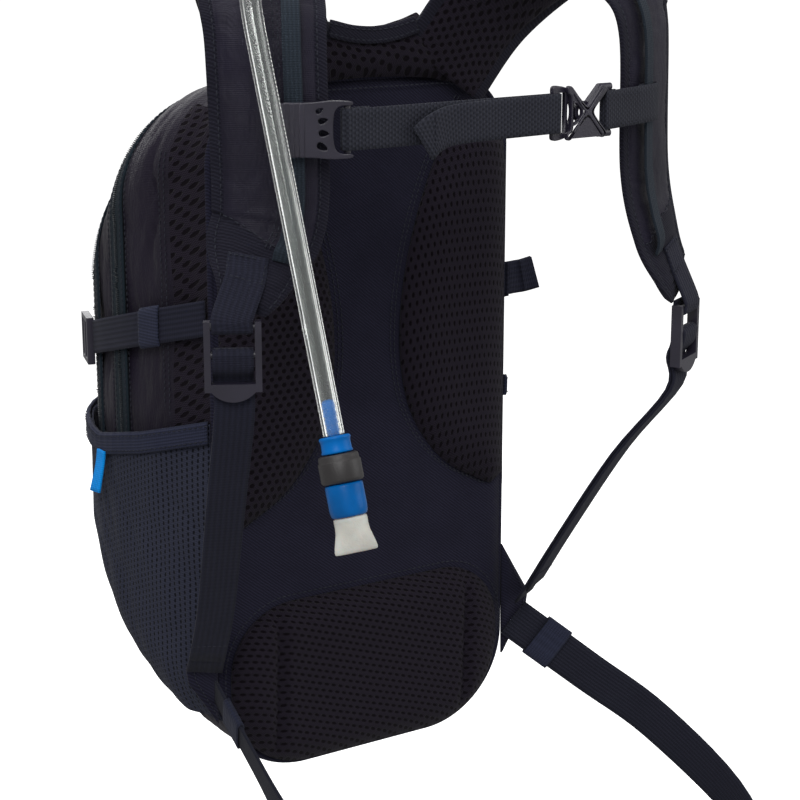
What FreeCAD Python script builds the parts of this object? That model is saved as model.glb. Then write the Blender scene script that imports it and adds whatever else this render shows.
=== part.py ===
"""Hydration pack: a small back-worn bag with a water reservoir and a drink tube.

Millimetres, +Z up. The wearer stands at -Y and the bag lies at +Y. Right in a name is the +X
side, as seen by someone who faces the back panel, which is the wearer's left.
The origin is the middle of the lumbar pad's flat face, where the pack meets the lower back.
Left and right pieces are built once for the +X side, and the left ones are mirrored.
"""
import FreeCAD
import Part
import math
import os

V = FreeCAD.Vector
os.makedirs("parts", exist_ok=True)

# ---- driving dimensions -------------------------------------------------------------------
FIT = 0.3  # clearance between pieces that only lie against each other
SHELL_WALL = 1.5  # nylon with its lining
PAD_THICK = 10.0  # spacer-mesh back pads
PANEL_THICK = 4.0  # foam-backed twill back panel
SHEET_THICK = 1.5  # plastic frame sheet

# Bag body from the back seam to the front: y, half width, bottom, top, bottom and top radius
PANEL_BACK = PAD_THICK + PANEL_THICK
BODY_SECTIONS = [
    (PANEL_BACK, 98.0, -52.0, 347.0, 55.0, 45.0),
    (45.0, 112.0, -44.0, 346.0, 64.0, 52.0),
    (80.0, 118.0, -26.0, 334.0, 68.0, 60.0),
    (108.0, 118.0, -4.0, 312.0, 70.0, 66.0),
    (135.0, 110.0, 30.0, 282.0, 64.0, 66.0),
    (153.0, 92.0, 62.0, 250.0, 50.0, 56.0),
    (160.0, 70.0, 92.0, 222.0, 40.0, 44.0),
]
DIVIDER_INDEX = 3  # the section where the main compartment meets the front pocket

WEBBING = 20.0  # shoulder, sternum and compression webbing width
WEBBING_THICK = 1.5
BELT_WEBBING = 25.0

ZIP_TAPE = 22.0
ZIP_THICK = 1.2
MAIN_ZIP_Y = 85.0
FRONT_ZIP_Y = 122.0
ZIP_LOW = 120.0  # the zips end under the side pockets' elastic band

POCKET_WALL = 1.2
POCKET_BULGE = [0.6, 5.0, 8.0, 7.5, 5.0, 0.6]  # how far the side pocket stands off, per section
POCKET_MOUTH = [(PANEL_BACK + 0.3, 163.0), (96.0, 142.0), (150.0, 150.0)]  # the mouth's line, (y, z)
POCKET_LOW = -26.0
POCKET_FLOOR = 6.0
BAND_HEIGHT = 13.0
SLOPE = -0.27  # the compression straps fall towards the front

STRAP_THICK = 12.0
RAIL_OFFSET = 12.0  # rail webbing, from the strap's middle line towards the neck
RAIL_WIDTH = 9.0
RAIL_STAND = 2.0  # gap behind the rail, for the slider's back bar
RAIL_STATIONS = (3, 4, 5, 6, 7)  # the strap's stations that the rail runs over
STRAP_TURN = math.atan2(0.47, 0.88)  # how far each strap's face turns outwards
STERNUM_HEIGHT = 336.0
SLIDER_HEIGHT = 26.0

TUBE_OUTER = 10.0
TUBE_BORE = 6.6
BARB_R = TUBE_BORE / 2 - 0.2
FLOW_R = 2.2  # the water passage through the fittings

STRAP_DROP = {"left": 0.0, "right": 22.0}  # the right strap hangs lower


# ---- construction helpers -------------------------------------------------------------------
def export(node, shape):
    """Write one sub-part and report its volume."""
    assert shape.isValid(), node
    assert shape.Volume > 0, node
    shape.exportStep("parts/%s.step" % node)
    print("%-26s %2d solid %10.1f mm3" % (node, len(shape.Solids), shape.Volume))


def export_pair(name, build):
    """Write the right-hand piece as built and the left-hand one mirrored."""
    export(name + "_right", build("right"))
    export(name + "_left", mirrored(build("left")))


def mirrored(shape):
    return shape.mirror(V(0, 0, 0), V(1, 0, 0))


def span_box(x, y, z):
    """A box from three (low, high) spans."""
    return Part.makeBox(x[1] - x[0], y[1] - y[0], z[1] - z[0], V(x[0], y[0], z[0]))


def rod(start, end, radius):
    axis = end - start
    return Part.makeCylinder(radius, axis.Length, start, axis)


def outline(y, half, bottom, top, r_low, r_high):
    """A rounded outline of the bag in the plane at y, as eight edges in a fixed order."""
    k = math.sqrt(0.5)

    def corner(cx, cz, r, sx, sz):
        return V(cx + sx * r * k, y, cz + sz * r * k)

    low, high = bottom + r_low, top - r_high
    in_low, in_high = half - r_low, half - r_high
    points = [V(-in_low, y, bottom), V(in_low, y, bottom), V(half, y, low), V(half, y, high),
              V(in_high, y, top), V(-in_high, y, top), V(-half, y, high), V(-half, y, low)]
    mids = {1: corner(in_low, low, r_low, 1, -1), 3: corner(in_high, high, r_high, 1, 1),
            5: corner(-in_high, high, r_high, -1, 1), 7: corner(-in_low, low, r_low, -1, -1)}
    edges = []
    for i, start in enumerate(points):
        end = points[(i + 1) % 8]
        if i in mids:
            edges.append(Part.Arc(start, mids[i], end).toShape())
        else:
            edges.append(Part.LineSegment(start, end).toShape())
    return Part.Wire(edges)


def body(grow=0.0, first=0, last=len(BODY_SECTIONS) - 1, side_grow=None):
    """The bag's outer form, grown all round, with an extra amount per section at the sides."""
    wires = []
    for i in range(first, last + 1):
        y, half, bottom, top, r_low, r_high = BODY_SECTIONS[i]
        side = grow + (side_grow[i] if side_grow else 0.0)
        wires.append(outline(y, half + side, bottom - grow, top + grow, r_low + side, r_high + side))
    return Part.makeLoft(wires, True, True)


def side_prism(points, x_from=0.0, x_to=160.0):
    """A prism across X from a (y, z) polygon."""
    corners = [V(x_from, y, z) for y, z in points]
    return Part.Face(Part.makePolygon(corners + corners[:1])).extrude(V(x_to - x_from, 0, 0))


def sloped_band(y_from, y_to, z_at_seam, half_height, x_from=0.0, x_to=160.0):
    """A band round the bag's side that falls towards the front."""
    def height(y, up):
        return z_at_seam + SLOPE * y + up

    return side_prism([(y_from, height(y_from, -half_height)), (y_to, height(y_to, -half_height)),
                       (y_to, height(y_to, half_height)), (y_from, height(y_from, half_height))],
                      x_from, x_to)


def ribbon(stations, thick):
    """A webbing or strap through (centre, width direction, width[, thickness]) stations."""
    wires = []
    for i, station in enumerate(stations):
        centre, hint, width = station[0], station[1], station[2]
        depth = station[3] if len(station) > 3 else thick
        before = stations[max(i - 1, 0)][0]
        after = stations[min(i + 1, len(stations) - 1)][0]
        along = (after - before).normalize()
        across = (hint - along * hint.dot(along)).normalize()
        face = along.cross(across)
        a, b = across * (width / 2), face * (depth / 2)
        corners = [centre - a - b, centre + a - b, centre + a + b, centre - a + b]
        wires.append(Part.makePolygon(corners + corners[:1]))
    solid = Part.makeLoft(wires, True, True)
    if solid.Volume < 0:
        solid.reverse()
    return solid


def turned(x, y, z, angle):
    """A point of a local frame that is turned about Z."""
    return V(x * math.cos(angle) - y * math.sin(angle), x * math.sin(angle) + y * math.cos(angle), z)


def placed(shape, origin, angle=STRAP_TURN):
    """A shape built about the origin, turned about Z and moved into place."""
    copy = shape.copy()
    copy.Placement = FreeCAD.Placement(origin, FreeCAD.Rotation(V(0, 0, 1), math.degrees(angle)))
    return copy


def arc_points(centre_y, centre_z, radius, start, end, steps):
    """(y, z) points of an arc, with the angles measured from +y towards +z."""
    return [(centre_y + radius * math.cos(math.radians(start + (end - start) * i / steps)),
             centre_z + radius * math.sin(math.radians(start + (end - start) * i / steps)))
            for i in range(steps + 1)]


# ---- back system: panel, frame sheet and mesh pads --------------------------------------------
def prism_y(wire, y_from, y_to):
    face = Part.Face(wire)
    face.translate(V(0, y_from, 0))
    return face.extrude(V(0, y_to - y_from, 0))


def back_outline(inset):
    _, half, bottom, top, r_low, r_high = BODY_SECTIONS[0]
    return outline(0.0, half - inset, bottom + inset, top - inset, r_low - inset, r_high - inset)


def back_pad():
    """The pad beside the waisted twill centre; its inner edge is one smooth curve."""
    inner = [V(66, 0, 330), V(50, 0, 305), V(34, 0, 266), V(24, 0, 222), V(23, 0, 180),
             V(32, 0, 146), V(54, 0, 117), V(86, 0, 98)]
    curve = Part.BSplineCurve()
    curve.interpolate(inner)
    outer_low, outer_high = V(95, 0, 104), V(95, 0, 290)
    edges = [curve.toShape(), Part.LineSegment(inner[-1], outer_low).toShape(),
             Part.LineSegment(outer_low, outer_high).toShape(),
             Part.Arc(outer_high, V(87, 0, 315), inner[0]).toShape()]
    return prism_y(Part.Wire(edges), 0.0, PAD_THICK)


LUMBAR_HALF = 92.0
LUMBAR_HEIGHT = 50.0


def lumbar_pad():
    pad = prism_y(outline(0.0, LUMBAR_HALF, -LUMBAR_HEIGHT, LUMBAR_HEIGHT, 49.0, 40.0), 0.0, PAD_THICK)
    front = [e for e in pad.Edges if abs(e.BoundBox.YMax) < 1e-6]
    return pad.makeChamfer(2.5, front)


def yoke_pad():
    """The mesh collar between the strap roots, hollowed at the neck."""
    edges = [Part.LineSegment(V(-70, 0, 333.5), V(70, 0, 333.5)).toShape(),
             Part.LineSegment(V(70, 0, 333.5), V(27, 0, 378)).toShape(),
             Part.Arc(V(27, 0, 378), V(0, 0, 373), V(-27, 0, 378)).toShape(),
             Part.LineSegment(V(-27, 0, 378), V(-70, 0, 333.5)).toShape()]
    strap = ribbon(strap_stations("right")[:3], STRAP_THICK)
    return prism_y(Part.Wire(edges), 0.0, PAD_THICK).cut([strap, mirrored(strap)])


# ---- bag shells ---------------------------------------------------------------------------
DIVIDER_Y = BODY_SECTIONS[DIVIDER_INDEX][0]
FRONT_Y = BODY_SECTIONS[-1][0]
FAR = 400.0

# The tube's route, chosen by hand: outlet elbow, up inside, out of the port, over the left strap
TUBE_ROUTE = [V(-14, 47, 8), V(-44, 47, 10), V(-68, 47, 30), V(-78, 46, 66), V(-76, 45, 130),
              V(-70, 45, 215), V(-62, 44.5, 290), V(-59, 38, 330), V(-66, 15, 380), V(-82, -14, 410),
              V(-104, -50, 424), V(-124, -84, 422), V(-136, -106, 398), V(-130.5, -170, 202.5)]
PORT_RUN = 7  # the run that passes through the port
PORT_RADIUS = 9.0
PORT_HEIGHT = 347.0


def route_point(index, share):
    a, b = TUBE_ROUTE[index], TUBE_ROUTE[index + 1]
    return a + (b - a) * share


def port_place():
    a, b = TUBE_ROUTE[PORT_RUN], TUBE_ROUTE[PORT_RUN + 1]
    centre = a + (b - a) * ((PORT_HEIGHT - a.z) / (b.z - a.z))
    return centre, (b - a).normalize()


def main_shell():
    """The main compartment's skin: gusset, top and front divider, open to the back panel."""
    shell = body(0.0, 0, DIVIDER_INDEX)
    hollow = body(-SHELL_WALL, 0, DIVIDER_INDEX)
    room = span_box((-FAR, FAR), (0, DIVIDER_Y - SHELL_WALL), (-FAR, FAR))
    centre, axis = port_place()
    hole = rod(centre - axis * 12, centre + axis * 12, PORT_RADIUS + FIT)
    return shell.cut(hollow.common(room)).cut(hole)


def front_pocket_shell():
    shell = body(0.0, DIVIDER_INDEX)
    hollow = body(-SHELL_WALL, DIVIDER_INDEX)
    room = span_box((-FAR, FAR), (0, FRONT_Y - SHELL_WALL), (-FAR, FAR))
    return shell.cut(hollow.common(room))


def zip_tape(y):
    """Coil and tape as one band on the skin, from the left pocket over the top to the right."""
    band = span_box((-FAR, FAR), (y - ZIP_TAPE / 2, y + ZIP_TAPE / 2), (ZIP_LOW, FAR))
    return body(FIT + ZIP_THICK).cut(body(FIT)).common(band)


# ---- side pockets -----------------------------------------------------------------------------
POCKET_FRONT = 147.0


def pocket_form(grow):
    return body(grow, 0, len(POCKET_BULGE) - 1, POCKET_BULGE)


def mouth_line(drop):
    """The pocket mouth's line in (y, z), lowered by drop."""
    return [(y, z - drop) for y, z in POCKET_MOUTH]


def side_pocket(side):
    """Stretch-knit skin that stands off the gusset, open along its top edge."""
    skin = pocket_form(POCKET_WALL).cut(body(ZIP_THICK + 2 * FIT))
    hollow = pocket_form(0.0).common(span_box((0, FAR), (0, FAR), (POCKET_FLOOR, FAR)))
    below = [(POCKET_MOUTH[-1][0], POCKET_LOW), (POCKET_MOUTH[0][0], POCKET_LOW)]
    return skin.cut(hollow).common(side_prism(mouth_line(0.0) + below, 50.0))


def pocket_band(side):
    """The elastic binding round the pocket's mouth."""
    ring = pocket_form(POCKET_WALL + FIT + 1.2).cut(pocket_form(POCKET_WALL + FIT))
    strip = side_prism(mouth_line(0.0) + mouth_line(BAND_HEIGHT)[::-1], 50.0)
    return ring.common(strip).common(span_box((0, FAR), (0, POCKET_FRONT), (-FAR, FAR)))


# ---- shoulder straps --------------------------------------------------------------------------
TURN_W = turned(1, 0, 0, STRAP_TURN)  # across the strap, away from the neck
TURN_N = turned(0, -1, 0, STRAP_TURN)  # out of the strap's outer face
STRAIGHT_TOP = {"left": V(119, -91, 372), "right": V(112, -91, 372)}
STRAIGHT_LEAN = {"left": -1.0, "right": 6.0}  # shift along the width over the straight stretch
STRAIGHT_LOW_Z = 300.0


def strap_stations(side):
    """Centre, width direction, width and thickness from the back seam to the tip."""
    top = STRAIGHT_TOP[side]
    low = top + TURN_W * STRAIGHT_LEAN[side]
    low.z = STRAIGHT_LOW_Z
    drop = STRAP_DROP[side]
    return [
        (V(54, 2.8, 357), V(0.69, 0, -0.72), 64, 10),
        (V(72, -6, 383), V(0.76, 0.1, -0.55), 66, 12),
        (V(92, -33, 402), V(0.88, 0.1, -0.3), 64, STRAP_THICK),
        (V(107, -62, 405), V(0.95, 0.2, -0.1), 62, STRAP_THICK),
        (V(top.x - 3, -83, 393), V(0.92, 0.36, 0), 61, STRAP_THICK),
        (top, TURN_W, 58, STRAP_THICK),
        (low, TURN_W, 57, STRAP_THICK),
        (V(low.x + 7, -92, 278 - 0.75 * drop), TURN_W, 52, 11),
        (V(132, -96, 262 - drop), TURN_W, 38, 9),
        (V(138, -97, 250 - drop), TURN_W, 24, 7),
    ]


def station_face(side, index, across, out):
    """A point beside a strap station: across the width, and out of the outer face."""
    stations = strap_stations(side)
    centre = stations[index][0]
    along = (stations[index + 1][0] - stations[index - 1][0]).normalize()
    hint = stations[index][1]
    width = (hint - along * hint.dot(along)).normalize()
    face = along.cross(width)
    return centre + width * across + face * out, width


def shoulder_strap(side):
    """The padded strap, with the tip webbing let into its lower end."""
    seat = ribbon([(point, width, WEBBING + 2 * FIT) for point, width, _ in tip_stations(side)],
                  WEBBING_THICK + 2 * FIT)
    return ribbon(strap_stations(side), STRAP_THICK).cut(seat)


def strap_rail(side):
    """Narrow webbing held off the strap's face, tacked down at both ends."""
    lift = STRAP_THICK / 2 + RAIL_STAND + WEBBING_THICK / 2
    tack_lift = STRAP_THICK / 2 + RAIL_STAND / 2
    points = [station_face(side, index, -RAIL_OFFSET, lift) for index in RAIL_STATIONS]
    rail = ribbon([(point, width, RAIL_WIDTH) for point, width in points], WEBBING_THICK)
    for end, inner in ((0, 1), (-1, -2)):
        inward = (points[inner][0] - points[end][0]).normalize()
        foot, width = station_face(side, RAIL_STATIONS[end], -RAIL_OFFSET, tack_lift)
        rail = rail.fuse(ribbon([(foot, width, RAIL_WIDTH), (foot + inward * 7, width, RAIL_WIDTH)],
                                RAIL_STAND + WEBBING_THICK))
    return rail.cut(ribbon(strap_stations(side), STRAP_THICK))


# ---- ladder locks and their webbing ---------------------------------------------------------
LOCK_X, LOCK_Y = 144.0, -98.0
LOCK_HEIGHT = {"left": 225.0, "right": 202.0}
LOCK_HALF, LOCK_THICK = 14.0, 6.0
LOCK_WINDOW = WEBBING / 2 + 0.8
LOCK_TOP_BAR, LOCK_MID_BAR, LOCK_BAR_R = 17.0, 3.0, 2.0
LIP_TOP, LIP_LOW = -11.0, -20.0
WRAP_R = LOCK_BAR_R + FIT + WEBBING_THICK / 2


def lock_centre(side):
    return V(LOCK_X, LOCK_Y, LOCK_HEIGHT[side])


def ladder_lock(side):
    """Two cheeks, a top and a middle bar, and the rounded lip that the thumb lifts."""
    y = (-LOCK_THICK / 2, LOCK_THICK / 2)
    frame = span_box((LOCK_WINDOW, LOCK_HALF), y, (LIP_TOP - 4, LOCK_TOP_BAR + LOCK_BAR_R + 1))
    frame = frame.fuse(mirrored(frame))
    frame = frame.fuse(span_box((-LOCK_HALF, LOCK_HALF), y, (LIP_LOW + 6, LIP_TOP)))
    lip = Part.makeCylinder(LOCK_HALF, LOCK_THICK, V(0, -LOCK_THICK / 2, LIP_LOW + LOCK_HALF), V(0, 1, 0))
    frame = frame.fuse(lip.common(span_box((-LOCK_HALF, LOCK_HALF), y, (LIP_LOW, LIP_LOW + 6.5))))
    for z in (LOCK_TOP_BAR, LOCK_MID_BAR):
        frame = frame.fuse(rod(V(-LOCK_WINDOW - 1, 0, z), V(LOCK_WINDOW + 1, 0, z), LOCK_BAR_R))
    return placed(frame.removeSplitter(), lock_centre(side))


def lock_path(side, points):
    """Webbing stations from (y, z) points in the ladder lock's own frame."""
    centre = lock_centre(side)
    return [(centre + turned(0, y, z, STRAP_TURN), TURN_W, WEBBING) for y, z in points]


def tip_stations(side):
    """From the strap's tip, round the ladder lock's top bar and back under itself."""
    on_strap = [station_face(side, 7, 4.0, 11 / 2 + 1.4), station_face(side, 8, 3.0, 9 / 2 + 1.4)]
    sewn = [(point, width, WEBBING) for point, width in on_strap]
    loop = arc_points(0, LOCK_TOP_BAR, WRAP_R, 180, 360, 6)
    clear = LOCK_TOP_BAR + 5  # above the cheeks
    return sewn + lock_path(side, [(-WRAP_R, clear)] + loop + [(WRAP_R, clear)])


def tip_webbing(side):
    return ribbon(tip_stations(side), WEBBING_THICK)


ADJUSTER_ROUTE = {
    "left": [V(111, 5.4, 21), V(120, -28, 72), V(133, -66, 140)],
    "right": [V(111, 5.4, 22), V(115, -28, 72), V(126, -64, 130)],
}
TAIL_GAP = 2.2  # middle of the tail from the middle of the loaded run


def adjuster_webbing(side):
    """From the wing up behind the lock's lip, over the middle bar, and down again as the tail."""
    route = ADJUSTER_ROUTE[side]
    run = [(point, TURN_W, WEBBING) for point in route]
    rise = [(6.4, -30), (6.4, LIP_TOP), (4.4, -4)]
    over = arc_points(0, LOCK_MID_BAR, WRAP_R, 0, 180, 6)
    fall = [(-1.5, -4), (4.5, LIP_TOP - 0.5), (4.2, -30)]
    tail = [(point + TURN_N * TAIL_GAP, TURN_W, WEBBING) for point in reversed(route[1:])]
    end = route[0] + (route[1] - route[0]) * 0.18 + TURN_N * TAIL_GAP
    stations = run + lock_path(side, rise + over + fall) + tail + [(end, TURN_W, WEBBING)]
    return ribbon(stations, WEBBING_THICK)


# ---- sternum strap ------------------------------------------------------------------------------
SLIDER_PLAY = {"left": 1.6, "right": 2.4}


def rail_at_sternum(side):
    """The rail's middle at the sternum strap's height."""
    top = STRAIGHT_TOP[side]
    share = (top.z - STERNUM_HEIGHT) / (top.z - STRAIGHT_LOW_Z)
    lift = STRAP_THICK / 2 + RAIL_STAND + WEBBING_THICK / 2
    across = share * STRAIGHT_LEAN[side] - RAIL_OFFSET
    return V(top.x, top.y, STERNUM_HEIGHT) + TURN_W * across + TURN_N * lift


BACK_BAR = 1.3
HANGER_REACH = 24.0  # from the rail to the slider's webbing bar, towards the middle
HANGER_BAR_R = 1.6
STERNUM_Y = -119.0


def clip_ring(side, wall, height):
    """A flat ring round the rail in the strap's turned frame: bar behind, plate in front."""
    inner_half = RAIL_WIDTH / 2 + SLIDER_PLAY[side]
    y_back = WEBBING_THICK / 2 + FIT
    ring = span_box((-inner_half - wall, inner_half + wall), (-y_back - 2.0, y_back + BACK_BAR),
                    (-height / 2, height / 2))
    room = span_box((-inner_half, inner_half), (-y_back, y_back), (-height, height))
    return ring.cut(room)


def sternum_slider(side):
    """Clips round the left rail; its outer bar carries the sternum webbing."""
    half = SLIDER_HEIGHT / 2
    origin = rail_at_sternum(side)
    clip = placed(clip_ring(side, 1.6, SLIDER_HEIGHT), origin)
    bar_x, bar_y = sternum_bar(side)
    plate = []
    for z in (-half, half - 2.4):
        arm_from = origin + TURN_W * (-RAIL_WIDTH / 2 - SLIDER_PLAY[side] - 1) + TURN_N * 2.0
        arm = ribbon([(V(arm_from.x, arm_from.y, STERNUM_HEIGHT + z + 1.2), V(0, 0, 1), 2.4),
                      (V(bar_x, bar_y, STERNUM_HEIGHT + z + 1.2), V(0, 0, 1), 2.4)], 2.4)
        plate.append(arm)
    bar = rod(V(bar_x, bar_y, STERNUM_HEIGHT - half + 0.5), V(bar_x, bar_y, STERNUM_HEIGHT + half - 0.5),
              HANGER_BAR_R)
    return clip.fuse(plate + [bar])


def sternum_bar(side):
    origin = rail_at_sternum(side) + TURN_W * -HANGER_REACH
    return origin.x, STERNUM_Y


HOOK_BAR_X = 33.0  # the hook's webbing bar
HOOK_CROSS_X = 50.0  # where the hook's post drops into the anchor's eye
ANCHOR_BAR_X = 66.0
POST_R = 3.0
EYE_R = POST_R + FIT
TAIL_END_X = -52.0


def flat_web(points, z_low, z_high, thick):
    """Webbing standing on edge, whose middle line is given in (x, y)."""
    stations = [(V(x, y, (z_low + z_high) / 2), V(0, 0, 1), z_high - z_low) for x, y in points]
    return ribbon(stations, thick)


def wrap_xy(cx, cy, radius, start, end, steps=6):
    return [(cx + radius * math.cos(math.radians(start + (end - start) * i / steps)),
             cy + radius * math.sin(math.radians(start + (end - start) * i / steps)))
            for i in range(steps + 1)]


def sternum_webbing():
    """From the left slider's bar to the hook's bar and back in front as the free tail."""
    bar_x, bar_y = sternum_bar("left")
    r = HANGER_BAR_R + FIT + WEBBING_THICK / 2
    start = [(-bar_x + 14, bar_y + r + 0.2)] + wrap_xy(-bar_x, bar_y, r, 90, 270)
    back = [(-bar_x + 20, STERNUM_Y - r), (-30, STERNUM_Y - 1.0), (HOOK_BAR_X - 8, STERNUM_Y + 1.6)]
    turn = wrap_xy(HOOK_BAR_X, STERNUM_Y, r, 90, -90)
    tail = [(HOOK_BAR_X - 10, STERNUM_Y - r - 0.6), (-28, STERNUM_Y - 4.2), (TAIL_END_X, STERNUM_Y - 6.5)]
    half = WEBBING / 2
    return flat_web(start + back + turn + tail, STERNUM_HEIGHT - half, STERNUM_HEIGHT + half, WEBBING_THICK)


def bar_frame(x, direction, cross_x):
    """A webbing bar with two cheeks whose arms run to the middle, like half of an X."""
    half = WEBBING / 2 + 3.2
    z = STERNUM_HEIGHT
    bar = rod(V(x, STERNUM_Y, z - half), V(x, STERNUM_Y, z + half), HANGER_BAR_R)
    parts = []
    for up in (-1, 1):
        cheek_z = z + up * (WEBBING / 2 + 1.9)
        tip = V(cross_x - direction * 1.0, STERNUM_Y, z + up * 3.2)
        cheek = V(x + direction * 5.0, STERNUM_Y, cheek_z)
        parts.append(rod(V(x - direction * 2.6, STERNUM_Y, cheek_z), cheek, 1.9))
        parts.append(Part.makeSphere(1.9, cheek))
        parts.append(rod(cheek, tip, 1.9))
    return bar.fuse(parts)


def sternum_hook():
    """The left half of the closure; its post drops into the anchor's eye from the front."""
    z = STERNUM_HEIGHT
    post = rod(V(HOOK_CROSS_X, STERNUM_Y - 5.0, z), V(HOOK_CROSS_X, STERNUM_Y + 2.5, z), POST_R)
    head = rod(V(HOOK_CROSS_X, STERNUM_Y - 5.0, z), V(HOOK_CROSS_X, STERNUM_Y - 2.2, z), POST_R + 2.2)
    bridge = span_box((HOOK_CROSS_X - 9.0, HOOK_CROSS_X), (STERNUM_Y - 5.0, STERNUM_Y - 2.2),
                      (z - 4.5, z + 4.5))
    riser = span_box((HOOK_CROSS_X - 9.5, HOOK_CROSS_X - 6.5), (STERNUM_Y - 5.0, STERNUM_Y + 1.0),
                     (z - 5.5, z + 5.5))
    return bar_frame(HOOK_BAR_X, 1, HOOK_CROSS_X - 6.0).fuse([post, head, bridge, riser])


def sternum_anchor():
    """The right half: an eye plate with two horns and the bar of the right webbing."""
    z = STERNUM_HEIGHT
    plate = rod(V(HOOK_CROSS_X, STERNUM_Y - 1.8, z), V(HOOK_CROSS_X, STERNUM_Y + 1.8, z), EYE_R + 2.2)
    frame = bar_frame(ANCHOR_BAR_X, -1, HOOK_CROSS_X + 2.0).fuse(plate)
    return frame.cut(rod(V(HOOK_CROSS_X, STERNUM_Y - 9, z), V(HOOK_CROSS_X, STERNUM_Y + 9, z), EYE_R))


def sternum_web_right():
    """Short webbing from the anchor's bar, folded round the right rail and sewn to itself."""
    rail = rail_at_sternum("right")
    r = HANGER_BAR_R + FIT + WEBBING_THICK / 2
    reach = RAIL_WIDTH / 2 + SLIDER_PLAY["right"] + WEBBING_THICK / 2
    gap = WEBBING_THICK + FIT + 0.1
    edge = V(rail.x, rail.y, 0) + TURN_W * reach + TURN_N * 0.1
    back_in = V(rail.x, rail.y, 0) - TURN_W * (reach + 1.5) - TURN_N * (gap - 0.2)
    front_in = V(rail.x, rail.y, 0) - TURN_W * (reach + 1.0) + TURN_N * gap
    leaning = math.degrees(STRAP_TURN)
    round_edge = wrap_xy(edge.x, edge.y, gap - 0.1, leaning - 90, leaning + 90)
    loop = [(front_in.x, front_in.y)] + round_edge + [(back_in.x, back_in.y)]
    around = wrap_xy(ANCHOR_BAR_X, STERNUM_Y, r, 90, 270)
    path = [(ANCHOR_BAR_X + 8, STERNUM_Y + r)] + around + loop
    half = WEBBING / 2
    return flat_web(path, STERNUM_HEIGHT - half, STERNUM_HEIGHT + half, WEBBING_THICK - 0.3)


# ---- wings and waist belt -------------------------------------------------------------------
WING_THICK = 3.0


def wing(side):
    """Twill triangle sewn in the back seam, which takes the belt and the adjuster."""
    y = PANEL_BACK - 0.5 - WING_THICK
    corners = [V(98.8, y, 56), V(119, y, 22), V(117, y, 12), V(99.5, y, -16)]
    return Part.Face(Part.makePolygon(corners + corners[:1])).extrude(V(0, WING_THICK, 0))


BUCKLE_X, BUCKLE_Y, BUCKLE_Z = 10.0, -222.0, -164.0
BUCKLE_BAR = 27.0  # from the buckle's middle to each webbing bar
BUCKLE_HALF_H, BUCKLE_HALF_D = 17.0, 5.0
BUCKLE_BAR_FROM, BUCKLE_BAR_TO = 1.6, 3.4  # the bar's faces, outward from its place
BUCKLE_BAR_DEPTH = 4.0
BELT_START = {"left": V(105, 3.8, 8), "right": V(105, 8.2, 8)}
BELT_KNEE = {"left": V(103, -36, -20), "right": V(148, -13, -30)}
BELT_ROUTE = {
    "left": [V(101, -84, -52), V(88, -140, -92), V(62, -186, -132), V(40, -210, -156)],
    "right": [V(182, -42, -62), V(210, -90, -108), V(196, -146, -142), V(146, -194, -160),
              V(84, -218, -164)],
}
BELT_UP = {"left": V(0.25, 0.1, 1), "right": V(0.35, -0.1, 1)}


def belt_end(side):
    """Round the buckle's bar and back outside, in the mirrored frame of the left side."""
    x = BUCKLE_BAR + (-BUCKLE_X if side == "left" else BUCKLE_X)
    stand = BUCKLE_BAR_DEPTH / 2 + FIT + WEBBING_THICK / 2
    inner = BUCKLE_BAR_FROM - FIT - WEBBING_THICK / 2 - 0.2
    points = [(8.0, stand), (inner + 1.0, stand), (inner, stand - 1.2), (inner, 1.2 - stand),
              (inner + 1.0, -stand), (20.0, -stand)]
    return [V(x + along, BUCKLE_Y + out, BUCKLE_Z) for along, out in points]


def belt_webbing(side):
    """From the wing, straight through its keeper, and round the waist to the buckle's bar."""
    up = BELT_UP[side]
    stations = [(BELT_START[side], up, BELT_WEBBING), (BELT_KNEE[side], up, BELT_WEBBING)]
    route = BELT_ROUTE[side] + belt_end(side)
    return ribbon(stations + [(point, V(0, 0, 1), BELT_WEBBING) for point in route], WEBBING_THICK)


KEEPER_LENGTH = 18.0


def belt_keeper(side):
    """An elastic sleeve that tidies the belt's tail; it slides on the straight first stretch."""
    start, knee = BELT_START[side], BELT_KNEE[side]
    along = (knee - start).normalize()
    middle = start + (knee - start) * 0.46
    ends = [middle - along * (KEEPER_LENGTH / 2), middle + along * (KEEPER_LENGTH / 2)]
    far = [middle - along * KEEPER_LENGTH, middle + along * KEEPER_LENGTH]
    up = BELT_UP[side]
    sleeve = ribbon([(p, up, BELT_WEBBING + 3.6) for p in ends], WEBBING_THICK + 3.6)
    return sleeve.cut(ribbon([(p, up, BELT_WEBBING + 1.2) for p in far], WEBBING_THICK + 1.2))


def buckle_half(direction, length):
    """A webbing bar with its two cheeks at one end of the belt buckle."""
    x = BUCKLE_X + direction * BUCKLE_BAR
    z_half = BELT_WEBBING / 2 + 0.8

    def span(low, high):
        return min(x + direction * low, x + direction * high), max(x + direction * low, x + direction * high)

    depth = (BUCKLE_Y - BUCKLE_BAR_DEPTH / 2, BUCKLE_Y + BUCKLE_BAR_DEPTH / 2)
    block = span_box(span(-length, BUCKLE_BAR_TO), depth,
                     (BUCKLE_Z - BUCKLE_HALF_H, BUCKLE_Z + BUCKLE_HALF_H))
    window = span_box(span(-5.0, BUCKLE_BAR_FROM), (BUCKLE_Y - 9, BUCKLE_Y + 9),
                      (BUCKLE_Z - z_half, BUCKLE_Z + z_half))
    return block.cut(window)


TONGUE_HALF_H, TONGUE_THICK, TONGUE_REACH = 12.0, 4.0, 20.0
BUCKLE_MOUTH = 4.0  # the tongue enters this far right of the buckle's middle


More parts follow.
